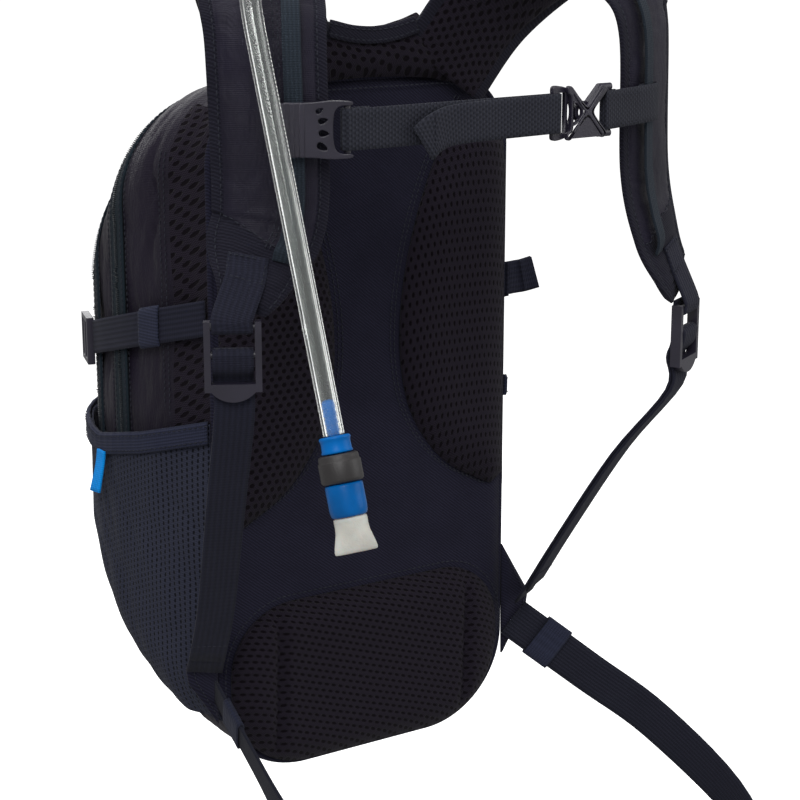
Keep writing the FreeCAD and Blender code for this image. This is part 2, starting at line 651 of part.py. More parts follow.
def belt_buckle_female():
    """The hollow half: a flat box with side windows and the left webbing bar."""
    x_span = (BUCKLE_X - 19.0, BUCKLE_X + BUCKLE_MOUTH)
    z_span = (BUCKLE_Z - BUCKLE_HALF_H, BUCKLE_Z + BUCKLE_HALF_H)
    y_span = (BUCKLE_Y - BUCKLE_HALF_D, BUCKLE_Y + BUCKLE_HALF_D)
    case = span_box(x_span, y_span, z_span).fuse(buckle_half(-1, 12.0))
    room_y = TONGUE_THICK / 2 + FIT
    room = span_box((BUCKLE_X - 17.0, BUCKLE_X + 30), (BUCKLE_Y - room_y, BUCKLE_Y + room_y),
                    (BUCKLE_Z - TONGUE_HALF_H - FIT, BUCKLE_Z + TONGUE_HALF_H + FIT))
    window = span_box((BUCKLE_X - 14.0, BUCKLE_X - 3.0), (BUCKLE_Y - room_y, BUCKLE_Y + room_y),
                      (BUCKLE_Z - 30, BUCKLE_Z + 30))
    return case.cut(room).cut(window)


def belt_buckle_male():
    """The tongue with its two latch arms, and the right webbing bar."""
    base = buckle_half(1, BUCKLE_BAR - BUCKLE_MOUTH - FIT)
    x_tip = BUCKLE_X + BUCKLE_MOUTH - TONGUE_REACH
    y_span = (BUCKLE_Y - TONGUE_THICK / 2, BUCKLE_Y + TONGUE_THICK / 2)
    tongue = span_box((x_tip + 2, BUCKLE_X + BUCKLE_MOUTH + 2), y_span, (BUCKLE_Z - 3, BUCKLE_Z + 3))
    arms = []
    for up in (-1, 1):
        low, high = sorted((BUCKLE_Z + up * (TONGUE_HALF_H - 4), BUCKLE_Z + up * TONGUE_HALF_H))
        arms.append(span_box((x_tip, BUCKLE_X + BUCKLE_MOUTH + 2), y_span, (low, high)))
    return base.fuse([tongue] + arms)


# ---- compression straps -------------------------------------------------------------------------
COMPRESSION_SEAM_Z = 225.0
COMPRESSION_FRONT = 130.0
COMPRESSION_LIFT = 2.4  # clear of the zip tapes
KEEPER_Y = 51.0


def compression_webbing(side):
    """From the back seam round the gusset to the buckle; the right one leaves a hemmed tail."""
    strip = body(COMPRESSION_LIFT + WEBBING_THICK).cut(body(COMPRESSION_LIFT))
    strap = strip.common(sloped_band(PANEL_BACK + FIT, COMPRESSION_FRONT, COMPRESSION_SEAM_Z, WEBBING / 2))
    if side == "right":
        half, y = BODY_SECTIONS[0][1], PANEL_BACK
        z = COMPRESSION_SEAM_Z + SLOPE * y
        tail = ribbon([(V(half + COMPRESSION_LIFT, y + 1.6, z), V(0, 0, 1), WEBBING),
                       (V(half + 14, y + 0.2, z + 1), V(0, 0, 1), WEBBING),
                       (V(half + 22, y - 3, z + 3), V(0, 0, 1), WEBBING)], WEBBING_THICK)
        strap = strap.fuse(tail)
    return strap


def compression_keeper():
    """An elastic sleeve round the left compression webbing."""
    sleeve = body(COMPRESSION_LIFT + WEBBING_THICK + 1.2).cut(body(COMPRESSION_LIFT - 0.8))
    sleeve = sleeve.common(sloped_band(KEEPER_Y - 8, KEEPER_Y + 8, COMPRESSION_SEAM_Z, WEBBING / 2 + 1.8))
    slot = body(COMPRESSION_LIFT + WEBBING_THICK + FIT / 2).cut(body(COMPRESSION_LIFT - FIT / 2))
    slot = slot.common(sloped_band(0, FAR, COMPRESSION_SEAM_Z, WEBBING / 2 + 0.4))
    return mirrored(sleeve.cut(slot))


COMPRESSION_LOCK_Y = 128.0
COMPRESSION_LOCK = (22.0, 28.0, 4.5)  # along the strap, across it, thick


def compression_lock_place():
    """Where the buckle lies on the gusset's front slope, and the slope's angle."""
    (y0, x0), (y1, x1) = [(s[0], s[1]) for s in BODY_SECTIONS[DIVIDER_INDEX:DIVIDER_INDEX + 2]]
    share = (COMPRESSION_LOCK_Y - y0) / (y1 - y0)
    along = V(x1 - x0, y1 - y0, 0).normalize()
    face = V(along.y, -along.x, 0)
    lift = COMPRESSION_LIFT + WEBBING_THICK + FIT + COMPRESSION_LOCK[2] / 2
    z = COMPRESSION_SEAM_Z + SLOPE * COMPRESSION_LOCK_Y
    return V(x0 + share * (x1 - x0), COMPRESSION_LOCK_Y, z) + face * lift, math.atan2(along.y, along.x)


def compression_buckle(side):
    """A three-bar slide: rectangular frame and a middle bar."""
    length, height, thick = COMPRESSION_LOCK
    x, y, z = length / 2, thick / 2, height / 2
    window = WEBBING / 2 + 0.8
    frame = span_box((-x, x), (-y, y), (-z, z))
    for low, high in ((-x + 3.2, -1.8), (1.8, x - 3.2)):
        frame = frame.cut(span_box((low, high), (-y - 1, y + 1), (-window, window)))
    centre, angle = compression_lock_place()
    return placed(frame, centre, angle)


# ---- zip sliders and pulls ----------------------------------------------------------------------
SLIDER_HALF = 5.0


def slider_seat(y):
    """The skin's height at the top of the gusset, and its slope, for a slider on the zip at y."""
    for lower, upper in zip(BODY_SECTIONS, BODY_SECTIONS[1:]):
        if lower[0] <= y <= upper[0]:
            slope = (upper[3] - lower[3]) / (upper[0] - lower[0])
            return lower[3] + slope * (y - lower[0]), math.atan(slope)
    raise ValueError(y)


def on_top(shape, y, x):
    """A shape built flat about the origin, seated on the zip tape on top of the bag."""
    top, slope = slider_seat(y)
    lift = V(0, -math.sin(slope), math.cos(slope)) * (FIT * 2 + ZIP_THICK)
    shape.Placement = FreeCAD.Placement(V(x, y, top) + lift,
                                        FreeCAD.Rotation(V(1, 0, 0), math.degrees(slope)))
    return shape


BASE_THICK, BRIDGE_LOW, BRIDGE_HIGH = 2.6, 4.9, 6.3
PULL_PIN_X, PULL_PIN_Z, PULL_PIN_R = -1.0, 3.75, 0.8
PULL_LENGTH, PULL_HALF, PULL_THICK = 27.0, 4.5, 1.2


def zip_slider(y, x):
    """A zip slider with a bridge that its pull hangs on."""
    base = span_box((-8, 8), (-SLIDER_HALF, SLIDER_HALF), (0, BASE_THICK))
    bridge = span_box((-6, 4), (-1.2, 1.2), (BASE_THICK, BRIDGE_HIGH))
    window = span_box((-4, 2), (-9, 9), (BASE_THICK, BRIDGE_LOW))
    return on_top(base.fuse(bridge.cut(window)), y, x)


def zip_pull(y, x):
    """A pull whose pin passes under the slider's bridge."""
    z = (PULL_PIN_Z - PULL_THICK / 2, PULL_PIN_Z + PULL_THICK / 2)
    pin = rod(V(PULL_PIN_X, -PULL_HALF, PULL_PIN_Z), V(PULL_PIN_X, PULL_HALF, PULL_PIN_Z), PULL_PIN_R)
    plate = span_box((PULL_PIN_X, PULL_LENGTH), (-PULL_HALF, PULL_HALF), z)
    eye = span_box((PULL_PIN_X - 1, 8), (-PULL_HALF + 2.6, PULL_HALF - 2.6), (0, 9))
    return on_top(plate.cut(eye).fuse(pin), y, x)


MAIN_SLIDER_X, FRONT_SLIDER_X = -12.0, 10.0


def pocket_pull():
    """A short fabric tab that hangs from under the left pocket's elastic band."""
    y, half_width = 118.0, 5.0
    lower, upper = BODY_SECTIONS[DIVIDER_INDEX:DIVIDER_INDEX + 2]
    share = (y - half_width - lower[0]) / (upper[0] - lower[0])
    skin = lower[1] + share * (upper[1] - lower[1]) + POCKET_BULGE[DIVIDER_INDEX]
    x = skin + POCKET_WALL + FIT
    z = POCKET_MOUTH[1][1] - BAND_HEIGHT + 1.5
    return mirrored(span_box((x, x + 1.8), (y - half_width, y + half_width), (z - 26, z)))


# ---- carrying loop -------------------------------------------------------------------------------
def haul_loop():
    """A flat webbing handle sewn into the top seam."""
    path = [(-42, 348.6), (-36, 353), (-22, 360), (0, 363), (22, 360), (36, 353), (42, 348.6)]
    return ribbon([(V(x, 29, z), V(0, 1, 0), WEBBING) for x, z in path], 2.4)


# ---- reservoir and drink tube ---------------------------------------------------------------
RES_BACK, RES_FRONT = 18.0, 38.0
RES_HALF, RES_LOW, RES_TOP = 75.0, -20.0, 298.0
RES_WALL, RES_EDGE = 1.5, 7.0
NECK_Z, NECK_R, NECK_HEIGHT = 232.0, 38.0, 10.0
NECK_BORE = 34.0
CAP_R, CAP_HEIGHT = 43.0, 14.0
TAB_Y = (26.0, 29.0)
ARM_Z = (306.0, 309.0)


def water_bag(inset):
    """The pillow-shaped bag, or the room inside it."""
    ends = outline(0.0, RES_HALF - inset, RES_LOW + inset, RES_TOP - inset, 30.0 - inset, 24.0 - inset)
    pillow = prism_y(ends, RES_BACK + inset, RES_FRONT - inset)
    rims = [e for e in pillow.Edges if abs(e.BoundBox.YMax - e.BoundBox.YMin) < 1e-6]
    return pillow.makeFillet(RES_EDGE - inset, rims)


def reservoir():
    """The welded water bag, with its filler neck and the hanging tab on top."""
    neck = rod(V(0, RES_FRONT - RES_WALL, NECK_Z), V(0, RES_FRONT + NECK_HEIGHT, NECK_Z), NECK_R)
    tab = span_box((-25, 25), TAB_Y, (RES_TOP - RES_WALL, RES_TOP + 20))
    eye = span_box((-10, 10), (0, 99), (RES_TOP + 5, ARM_Z[1] + FIT))
    mouth = rod(V(0, RES_FRONT - 2 * RES_WALL, NECK_Z), V(0, RES_FRONT + 40, NECK_Z), NECK_BORE)
    outlet = rod(V(0, RES_FRONT - 2 * RES_WALL, TUBE_ROUTE[0].z), V(0, RES_FRONT + 9, TUBE_ROUTE[0].z),
                 FLOW_R)
    return water_bag(0.0).cut(water_bag(RES_WALL)).fuse([neck, tab.cut(eye)]).cut(mouth).cut(outlet)


def filler_cap():
    """A screw cap over the neck, with a grip bar across its face."""
    y_low = RES_FRONT + FIT * 2
    cap = rod(V(0, y_low, NECK_Z), V(0, y_low + CAP_HEIGHT, NECK_Z), CAP_R)
    room = rod(V(0, y_low - 1, NECK_Z), V(0, RES_FRONT + NECK_HEIGHT + FIT, NECK_Z), NECK_R + FIT * 2)
    grip = span_box((-CAP_R + 6, CAP_R - 6), (y_low + CAP_HEIGHT - 1, y_low + CAP_HEIGHT + 9),
                    (NECK_Z - 4, NECK_Z + 4))
    return cap.cut(room).fuse(grip)


def reservoir_hanger():
    """A plastic hook on the frame sheet, through the reservoir's tab."""
    back = PANEL_BACK + SHEET_THICK
    plate = span_box((-8, 8), (back, back + 2), (ARM_Z[0], 336))
    arm = span_box((-8, 8), (back, TAB_Y[1] + 4), ARM_Z)
    nose = span_box((-8, 8), (TAB_Y[1] + 2, TAB_Y[1] + 4), (ARM_Z[0], ARM_Z[1] + 7))
    return plate.fuse([arm, nose])


def outlet_elbow():
    """Base disc on the reservoir, a boss, and a barbed nozzle that enters the tube."""
    mouth, turn = TUBE_ROUTE[0], TUBE_ROUTE[1]
    along = (turn - mouth).normalize()
    base = rod(V(0, RES_FRONT, mouth.z), V(0, RES_FRONT + 3, mouth.z), 16.0)
    boss = rod(V(0, RES_FRONT, mouth.z), V(0, mouth.y + 8, mouth.z), 9.0)
    shoulder = rod(V(0, mouth.y, mouth.z), mouth - along * FIT, TUBE_OUTER / 2)
    nozzle = rod(V(0, mouth.y, mouth.z), mouth + along * 12, BARB_R)
    inner = V(0, mouth.y, mouth.z)
    flow = rod(V(0, RES_FRONT - 1, mouth.z), inner, FLOW_R)
    flow = flow.fuse([Part.makeSphere(FLOW_R, inner), rod(inner, mouth + along * 13, FLOW_R)])
    return base.fuse([boss, shoulder, nozzle]).cut(flow)


def smooth_path(points, tell=False):
    """Straight runs joined by the largest tangent arcs that their two runs allow."""
    edges, last = [], points[0]
    for before, point, after in zip(points, points[1:], points[2:]):
        back, ahead = (before - point), (after - point)
        shorter = min(back.Length, ahead.Length)
        half_turn = (math.pi - back.getAngle(ahead)) / 2
        reach = 0.45 * shorter
        radius = reach / math.tan(half_turn)
        if tell:
            print("   turn %4.0f degrees, radius %5.1f mm" % (math.degrees(2 * half_turn), radius))
        start = point + back.normalize() * reach
        end = point + ahead.normalize() * reach
        inward = (back + ahead).normalize()
        middle = point + inward * (radius / math.cos(half_turn) - radius)
        edges.append(Part.LineSegment(last, start).toShape())
        edges.append(Part.Arc(start, middle, end).toShape())
        last = end
    edges.append(Part.LineSegment(last, points[-1]).toShape())
    return Part.Wire(edges)


def swept(path, radius):
    start = path.Edges[0].valueAt(path.Edges[0].FirstParameter)
    along = path.Edges[0].tangentAt(path.Edges[0].FirstParameter)
    ring = Part.Wire(Part.makeCircle(radius, start, along))
    return path.makePipeShell([ring], True, False)


def drink_tube():
    path = smooth_path(TUBE_ROUTE, tell=True)
    tube = swept(path, TUBE_OUTER / 2).cut(swept(path, TUBE_BORE / 2))
    expected = math.pi / 4 * (TUBE_OUTER ** 2 - TUBE_BORE ** 2) * path.Length
    print("   tube length %.1f mm, volume %.1f of %.1f mm3" % (path.Length, tube.Volume, expected))
    return tube


def tube_port():
    """A rubber grommet in the top seam, round the tube."""
    centre, axis = port_place()
    ring = rod(centre - axis * 3.5, centre + axis * 3.5, PORT_RADIUS)
    return ring.cut(rod(centre - axis * 9, centre + axis * 9, TUBE_OUTER / 2 + FIT))


KEEPER_RUN = 10  # the run that passes through the keeper on the left strap


def tube_keeper():
    """An elastic loop on the left strap's crest that holds the tube."""
    middle = route_point(KEEPER_RUN, 0.5)
    along = (TUBE_ROUTE[KEEPER_RUN + 1] - TUBE_ROUTE[KEEPER_RUN]).normalize()
    bore = TUBE_OUTER / 2 + FIT
    ring = rod(middle - along * 5, middle + along * 5, bore + 1.3)
    foot = ribbon([(middle - along * 5 - V(0, 0, 8), V(1, 0, 0), 14),
                   (middle + along * 5 - V(0, 0, 8), V(1, 0, 0), 14)], 12.0)
    hole = rod(middle - along * 20, middle + along * 20, bore)
    return ring.fuse(foot).cut(hole).cut(mirrored(shoulder_strap("left")))


# Bite valve, along the tube's last run; each length is its own
BARB_INSIDE = 16.0
FLANGE_LENGTH, FLANGE_R = 8.5, 7.5
COLLAR_LENGTH, COLLAR_R = 13.5, 8.9
VALVE_LENGTH, VALVE_R = 15.5, 9.0
MOUTH_LENGTH, MOUTH_HALF_WIDTH = 17.0, 9.6
SPIGOT_R = 4.5


def valve_axis():
    end = TUBE_ROUTE[-1]
    return end, (end - TUBE_ROUTE[-2]).normalize()


def valve_point(distance):
    end, along = valve_axis()
    return end + along * distance


def barb_connector():
    """The barb inside the tube, its flange, and the spigot that the collar turns on."""
    stem = rod(valve_point(-BARB_INSIDE), valve_point(FLANGE_LENGTH), BARB_R)
    flange = rod(valve_point(FIT), valve_point(FLANGE_LENGTH), FLANGE_R)
    spigot = rod(valve_point(FLANGE_LENGTH), valve_point(FLANGE_LENGTH + COLLAR_LENGTH + FIT * 2), SPIGOT_R)
    flow = rod(valve_point(-BARB_INSIDE - 1), valve_point(FLANGE_LENGTH + COLLAR_LENGTH + 1), FLOW_R)
    return stem.fuse([flange, spigot]).cut(flow)


def valve_collar():
    """The turning shut-off ring."""
    low, high = FLANGE_LENGTH + FIT, FLANGE_LENGTH + FIT + COLLAR_LENGTH
    ring = rod(valve_point(low), valve_point(high), COLLAR_R)
    tab = rod(valve_point(low + 3.5), valve_point(high - 3.5), COLLAR_R + 1.2)
    return ring.fuse(tab).cut(rod(valve_point(low - 5), valve_point(high + 5), SPIGOT_R + 0.1))


def valve_body():
    low = FLANGE_LENGTH + COLLAR_LENGTH + FIT * 2
    case = rod(valve_point(low), valve_point(low + VALVE_LENGTH), VALVE_R)
    return case.cut(rod(valve_point(low + 1.2), valve_point(low + VALVE_LENGTH + 1), FLOW_R))


def bite_mouthpiece():
    """The flattened silicone mouthpiece, open only along its slit."""
    low = FLANGE_LENGTH + COLLAR_LENGTH + FIT * 2 + VALVE_LENGTH
    _, along = valve_axis()
    end_dir = V(0.9, -0.42, 0)
    return ribbon([(valve_point(low), end_dir, 15.0, 13.0),
                   (valve_point(low + 6), end_dir, 2 * MOUTH_HALF_WIDTH, 11.0),
                   (valve_point(low + MOUTH_LENGTH), end_dir, 2 * MOUTH_HALF_WIDTH - 1, 5.0)], 10.0)


# ---- build ------------------------------------------------------------------------------------
export("back_panel", prism_y(back_outline(0.0), PAD_THICK, PANEL_BACK))
export("frame_sheet", prism_y(back_outline(14.0), PANEL_BACK, PANEL_BACK + SHEET_THICK))
export("back_pad_right", back_pad())
export("back_pad_left", mirrored(back_pad()))
export("lumbar_pad", lumbar_pad())
export("yoke_pad", yoke_pad())

export("main_shell", main_shell())
export("front_pocket_shell", front_pocket_shell())
export("main_zip", zip_tape(MAIN_ZIP_Y))
export("front_zip", zip_tape(FRONT_ZIP_Y))
export("main_zip_slider", zip_slider(MAIN_ZIP_Y, MAIN_SLIDER_X))
export("main_zip_pull", zip_pull(MAIN_ZIP_Y, MAIN_SLIDER_X))
export("front_zip_slider", zip_slider(FRONT_ZIP_Y, FRONT_SLIDER_X))
export("front_zip_pull", zip_pull(FRONT_ZIP_Y, FRONT_SLIDER_X))
export_pair("side_pocket", side_pocket)
export_pair("pocket_band", pocket_band)
export("pocket_pull", pocket_pull())
export("haul_loop", haul_loop())

export_pair("shoulder_strap", shoulder_strap)
export_pair("strap_rail", strap_rail)
export_pair("tip_webbing", tip_webbing)
export_pair("ladder_lock", ladder_lock)
export_pair("adjuster_webbing", adjuster_webbing)

export("sternum_slider", mirrored(sternum_slider("left")))
export("sternum_webbing", sternum_webbing())
export("sternum_hook", sternum_hook())
export("sternum_anchor", sternum_anchor())
export("sternum_web_right", sternum_web_right())

export_pair("wing", wing)
export_pair("belt_webbing", belt_webbing)
export_pair("belt_keeper", belt_keeper)
export("belt_buckle_female", belt_buckle_female())
export("belt_buckle_male", belt_buckle_male())

export_pair("compression_webbing", compression_webbing)
export_pair("compression_buckle", compression_buckle)
export("compression_keeper", compression_keeper())

export("reservoir", reservoir())
export("filler_cap", filler_cap())
export("reservoir_hanger", reservoir_hanger())
export("outlet_elbow", outlet_elbow())
export("tube_port", tube_port())
export("tube_keeper", tube_keeper())
export("drink_tube", drink_tube())
export("barb_connector", barb_connector())
export("valve_collar", valve_collar())
export("valve_body", valve_body())
export("bite_mouthpiece", bite_mouthpiece())
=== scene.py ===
"""Hydration pack: fabrics, mesh, webbing, moulded buckles and the drink tube, over the fixed frame."""
import bmesh
import bpy
import math
from mathutils import Matrix, Vector, noise
from mathutils.geometry import delaunay_2d_cdt


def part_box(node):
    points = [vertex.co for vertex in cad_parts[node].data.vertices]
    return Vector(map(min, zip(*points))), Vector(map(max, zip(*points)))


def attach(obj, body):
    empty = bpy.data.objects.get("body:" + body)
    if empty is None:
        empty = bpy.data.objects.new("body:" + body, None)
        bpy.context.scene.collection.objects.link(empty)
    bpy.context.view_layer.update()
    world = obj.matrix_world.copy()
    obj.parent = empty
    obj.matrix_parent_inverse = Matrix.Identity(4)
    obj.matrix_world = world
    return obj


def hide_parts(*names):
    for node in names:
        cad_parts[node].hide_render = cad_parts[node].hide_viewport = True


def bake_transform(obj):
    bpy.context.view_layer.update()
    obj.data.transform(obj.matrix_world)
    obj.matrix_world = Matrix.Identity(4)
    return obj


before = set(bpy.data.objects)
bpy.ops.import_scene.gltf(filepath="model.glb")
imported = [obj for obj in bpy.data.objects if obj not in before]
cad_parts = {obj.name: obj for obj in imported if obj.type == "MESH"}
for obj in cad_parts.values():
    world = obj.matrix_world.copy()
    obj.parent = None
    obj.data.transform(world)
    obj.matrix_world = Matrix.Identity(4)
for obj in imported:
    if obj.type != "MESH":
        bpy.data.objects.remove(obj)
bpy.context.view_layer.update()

# ---- camera, floor and light --------------------------------------------------------------------
# A plain pale studio: soft light from above and both sides, and a long lens at the wearer's side
# of the pack, a little above its middle.
CAMERA_PLACE, CAMERA_AIM, LENS = Vector((-0.590, -0.934, 0.450)), Vector((0.024, 0.012, 0.158)), 90.0
LIGHT_AIM = Vector((0, 0.05, 0.15))
LIGHTS = (  # name, place, size and power
    ("key_light", (-1.3, -1.5, 1.7), 1.2, 30.0),
    ("fill_light", (1.6, -1.2, 0.9), 1.5, 12.0),
    ("top_light", (-0.3, 0.3, 2.2), 1.6, 18.0),
    ("back_light", (0.3, 1.9, 1.0), 1.5, 16.0),
)
AMBIENT, BACKDROP = 0.40, 1.2
FLOOR_HEIGHT, FLOOR_REACH, FLOOR_GREY, FLOOR_GLOW = -0.40, 60, 0.86, 0.74


def aimed(place, aim):
    """The matrix of a camera or a light at a place, turned to a point."""
    return Matrix.Translation(place) @ (aim - place).to_track_quat("-Z", "Y").to_matrix().to_4x4()


scene = bpy.context.scene
scene.view_settings.view_transform = "Standard"
lens = bpy.data.cameras.new("camera")
lens.lens, lens.sensor_width = LENS, 36.0
camera = bpy.data.objects.new("camera", lens)
camera.matrix_world = aimed(CAMERA_PLACE, CAMERA_AIM)
scene.collection.objects.link(camera)
scene.camera = camera

for name, place, size, power in LIGHTS:
    lamp = bpy.data.lights.new(name, "AREA")
    lamp.energy, lamp.size = power, size
    light = bpy.data.objects.new(name, lamp)
    light.matrix_world = aimed(Vector(place), LIGHT_AIM)
    scene.collection.objects.link(light)

world = bpy.data.worlds.new("studio")
world.use_nodes = True
studio = world.node_tree
ambient, backdrop = studio.nodes["Background"], studio.nodes.new("ShaderNodeBackground")
for background, strength in ((ambient, AMBIENT), (backdrop, BACKDROP)):
    background.inputs["Color"].default_value = (1, 1, 1, 1)
    background.inputs["Strength"].default_value = strength
seen, either = studio.nodes.new("ShaderNodeLightPath"), studio.nodes.new("ShaderNodeMixShader")
studio.links.new(seen.outputs["Is Camera Ray"], either.inputs[0])
studio.links.new(ambient.outputs[0], either.inputs[1])
studio.links.new(backdrop.outputs[0], either.inputs[2])
studio.links.new(either.outputs[0], studio.nodes["World Output"].inputs["Surface"])
scene.world = world

floor_mesh = bpy.data.meshes.new("floor")
floor_mesh.from_pydata([(x * FLOOR_REACH, y * FLOOR_REACH, FLOOR_HEIGHT)
                        for x, y in ((-1, -1), (1, -1), (1, 1), (-1, 1))], [], [(0, 1, 2, 3)])
floor = bpy.data.objects.new("floor", floor_mesh)
scene.collection.objects.link(floor)
floor_paint = bpy.data.materials.new("pale_floor")
floor_paint.use_nodes = True
for key, value in (("Base Color", (FLOOR_GREY, FLOOR_GREY, FLOOR_GREY, 1)), ("Roughness", 0.9),
                   ("Emission Color", (1, 1, 1, 1)), ("Emission Strength", FLOOR_GLOW)):
    floor_paint.node_tree.nodes["Principled BSDF"].inputs[key].default_value = value
floor.visible_diffuse = floor.visible_glossy = False
floor_mesh.materials.append(floor_paint)


# ---- twill back panel ---------------------------------------------------------------------------
# The foam-backed panel against the wearer's back: polyester twill over thin foam, cut to the bag's
# outline and sewn into the back seam. Its stitching runs beside the mesh pads.
class Value:
    """A shader value that Python arithmetic can be written with; each operator adds a Math node."""

    def __init__(self, tree, socket):
        self.tree, self.socket = tree, socket

    def math(self, operation, *values):
        node = self.tree.nodes.new("ShaderNodeMath")
        node.operation = operation
        for slot, value in zip(node.inputs, values):
            if isinstance(value, Value):
                self.tree.links.new(value.socket, slot)
            else:
                slot.default_value = value
        return Value(self.tree, node.outputs[0])

    def __add__(self, other):
        return self.math("ADD", self, other)

    def __sub__(self, other):
        return self.math("SUBTRACT", self, other)

    def __rsub__(self, other):
        return self.math("SUBTRACT", other, self)

    def __mul__(self, other):
        return self.math("MULTIPLY", self, other)

    def __truediv__(self, other):
        return self.math("DIVIDE", self, other)

    def __pow__(self, other):
        return self.math("POWER", self, other)

    def __abs__(self):
        return self.math("ABSOLUTE", self)

    __radd__, __rmul__ = __add__, __mul__

    def wave(self, pitch):
        """0 to 1 and back over each pitch."""
        return self.math("SINE", self * (2 * math.pi / pitch)) * 0.5 + 0.5

    def cell(self, pitch):
        """-0.5 to 0.5 across each pitch."""
        return self.math("FRACT", self / pitch) - 0.5

    def whole(self, pitch):
        """How many whole pitches lie below."""
        return self.math("FLOOR", self / pitch)

    def odd(self):
        """0 for an even whole number, and 1 or -1 for an odd one."""
        return self.math("MODULO", self, 2.0)

    def step(self, low, high):
        """Smoothly from 0 at low to 1 at high."""
        node = self.tree.nodes.new("ShaderNodeMapRange")
        node.interpolation_type = "SMOOTHSTEP"
        node.inputs["From Min"].default_value, node.inputs["From Max"].default_value = low, high
        self.tree.links.new(self.socket, node.inputs["Value"])
        return Value(self.tree, node.outputs["Result"])


class Finish:
    """One material: its constants sit on the shader, and what varies is linked by paint()."""

    def __init__(self, name, slot, **constants):
        self.material = bpy.data.materials.new(name)
        self.material.use_nodes = True
        self.tree, self.slot = self.material.node_tree, slot
        self.shader = self.tree.nodes["Principled BSDF"]
        for key, value in constants.items():
            self.shader.inputs[key.replace("_", " ")].default_value = value

    def node(self, kind, inputs, out=0, **settings):
        node = self.tree.nodes.new(kind)
        for key, value in settings.items():
            setattr(node, key, value)
        for key, value in inputs.items():
            if isinstance(value, Value):
                self.tree.links.new(value.socket, node.inputs[key])
            else:
                node.inputs[key].default_value = value
        return Value(self.tree, node.outputs[out])

    def millimetres(self, source="Object"):
        """The three coordinates of Object, or of the piece's own UV map, in millimetres."""
        node = self.tree.nodes.new("ShaderNodeTexCoord")
        parts = self.tree.nodes.new("ShaderNodeSeparateXYZ")
        self.tree.links.new(node.outputs[source], parts.inputs[0])
        return [Value(self.tree, out) * 1000.0 for out in parts.outputs]

    def point(self, x, y, z=0.0):
        return self.node("ShaderNodeCombineXYZ", {0: x, 1: y, 2: z})

    def speckle(self, at, scale, detail=2.0, rough=0.5):
        return self.node("ShaderNodeTexNoise", {"Vector": at, "Scale": scale, "Detail": detail,
                                                "Roughness": rough})

    def mottle(self, scale):
        """Soft unevenness over the whole piece, 0 to 1."""
        return self.speckle(self.point(*self.millimetres()), scale, 3.0)

    def blend(self, share, first, second):
        """A colour between two, each a value or its red, green and blue."""
        first, second = (c if isinstance(c, Value) else (*c, 1) for c in (first, second))
        return self.node("ShaderNodeMix", {0: share, 6: first, 7: second}, out=2, data_type="RGBA")

    def paint(self, color, rough, bump=None, depth=0.3):
        """Links colour and roughness, and a height in millimetres as a bump."""
        self.tree.links.new(color.socket, self.shader.inputs["Base Color"])
        self.tree.links.new(rough.socket, self.shader.inputs["Roughness"])
        if bump is not None:
            height = self.node("ShaderNodeBump", {"Strength": 1.0, "Distance": depth * 0.001, "Height": bump})
            self.tree.links.new(height.socket, self.shader.inputs["Normal"])
        return self


def cloth_finish(name, slot, specular, sheen=0.03, fuzz=0.5):
    return Finish(name, slot, Sheen_Weight=sheen, Sheen_Roughness=fuzz, Specular_IOR_Level=specular)


def shade(colour, share):
    """The same colour, darker or lighter."""
    return tuple(min(1.0, c * share) for c in colour)


def sewn(finish, base, other, share, thread, depth):
    """Cloth colour: a yarn mask over two shades, mottled a little, with its height as bump."""
    mottle = finish.mottle(0.035)
    woven = finish.blend(share, base, other)
    color = finish.blend((mottle - 0.5).step(-0.25, 0.3) * 0.35, woven, shade(base, 0.62))
    return finish.paint(color, mottle * 0.12 + 0.80, thread, depth)


def twill_finish(name, base, other, slot="twill"):
    finish = cloth_finish(name, slot, 0.15)
    x, y, z = finish.millimetres()
    wobble = finish.speckle(finish.point(x, y, z), 0.25) * 0.8
    diagonal = (x * 0.8 + y * 0.5 + z + wobble).wave(1.9)
    yarn = (x * 0.9 - z * 0.9 + y * 0.4).wave(1.3)
    thread = diagonal * 0.7 + yarn * 0.3
    return sewn(finish, base, other, thread.step(0.2, 0.9), thread, 0.22)


twill = twill_finish("navy_twill", (0.0088, 0.0082, 0.0185), (0.0192, 0.0186, 0.0390))


def placed(name, mesh, body):
    """A finished mesh as a piece, riding on a CAD body if one is given."""
    obj = bpy.data.objects.new(name, mesh)
    scene.collection.objects.link(obj)
    if body:
        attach(obj, body)
    return obj


def build(name, verts, faces, finishes, body, uv=None, chosen=None):
    """A mesh piece from millimetres, with its materials."""
    mesh = bpy.data.meshes.new(name)
    mesh.from_pydata([(x * 0.001, y * 0.001, z * 0.001) for x, y, z in verts], [], faces)
    for finish in finishes:
        mesh.materials.append(finish.material)
    if chosen:
        mesh.polygons.foreach_set("material_index", chosen)
    mesh.polygons.foreach_set("use_smooth", [True] * len(mesh.polygons))
    if uv:
        layer = mesh.uv_layers.new(name="cloth")
        for loop in mesh.loops:
            layer.data[loop.index].uv = [c * 0.001 for c in uv[loop.vertex_index]]
    mesh.validate()
    return placed(name, mesh, body)


def outward(obj):
    """Merges doubles and points every face out."""
    shape = bmesh.new()
    shape.from_mesh(obj.data)
    bmesh.ops.remove_doubles(shape, verts=shape.verts, dist=1e-6)
    bmesh.ops.recalc_face_normals(shape, faces=shape.faces)
    shape.to_mesh(obj.data)
    shape.free()
    return obj


def on_curve(before, a, b, after, t):
    """A point from a to b on the smooth curve through four points."""
    return 0.5 * (2 * a + (b - before) * t + (2 * before - 5 * a + 4 * b - after) * t * t
                  + (3 * a - before - 3 * b + after) * t ** 3)


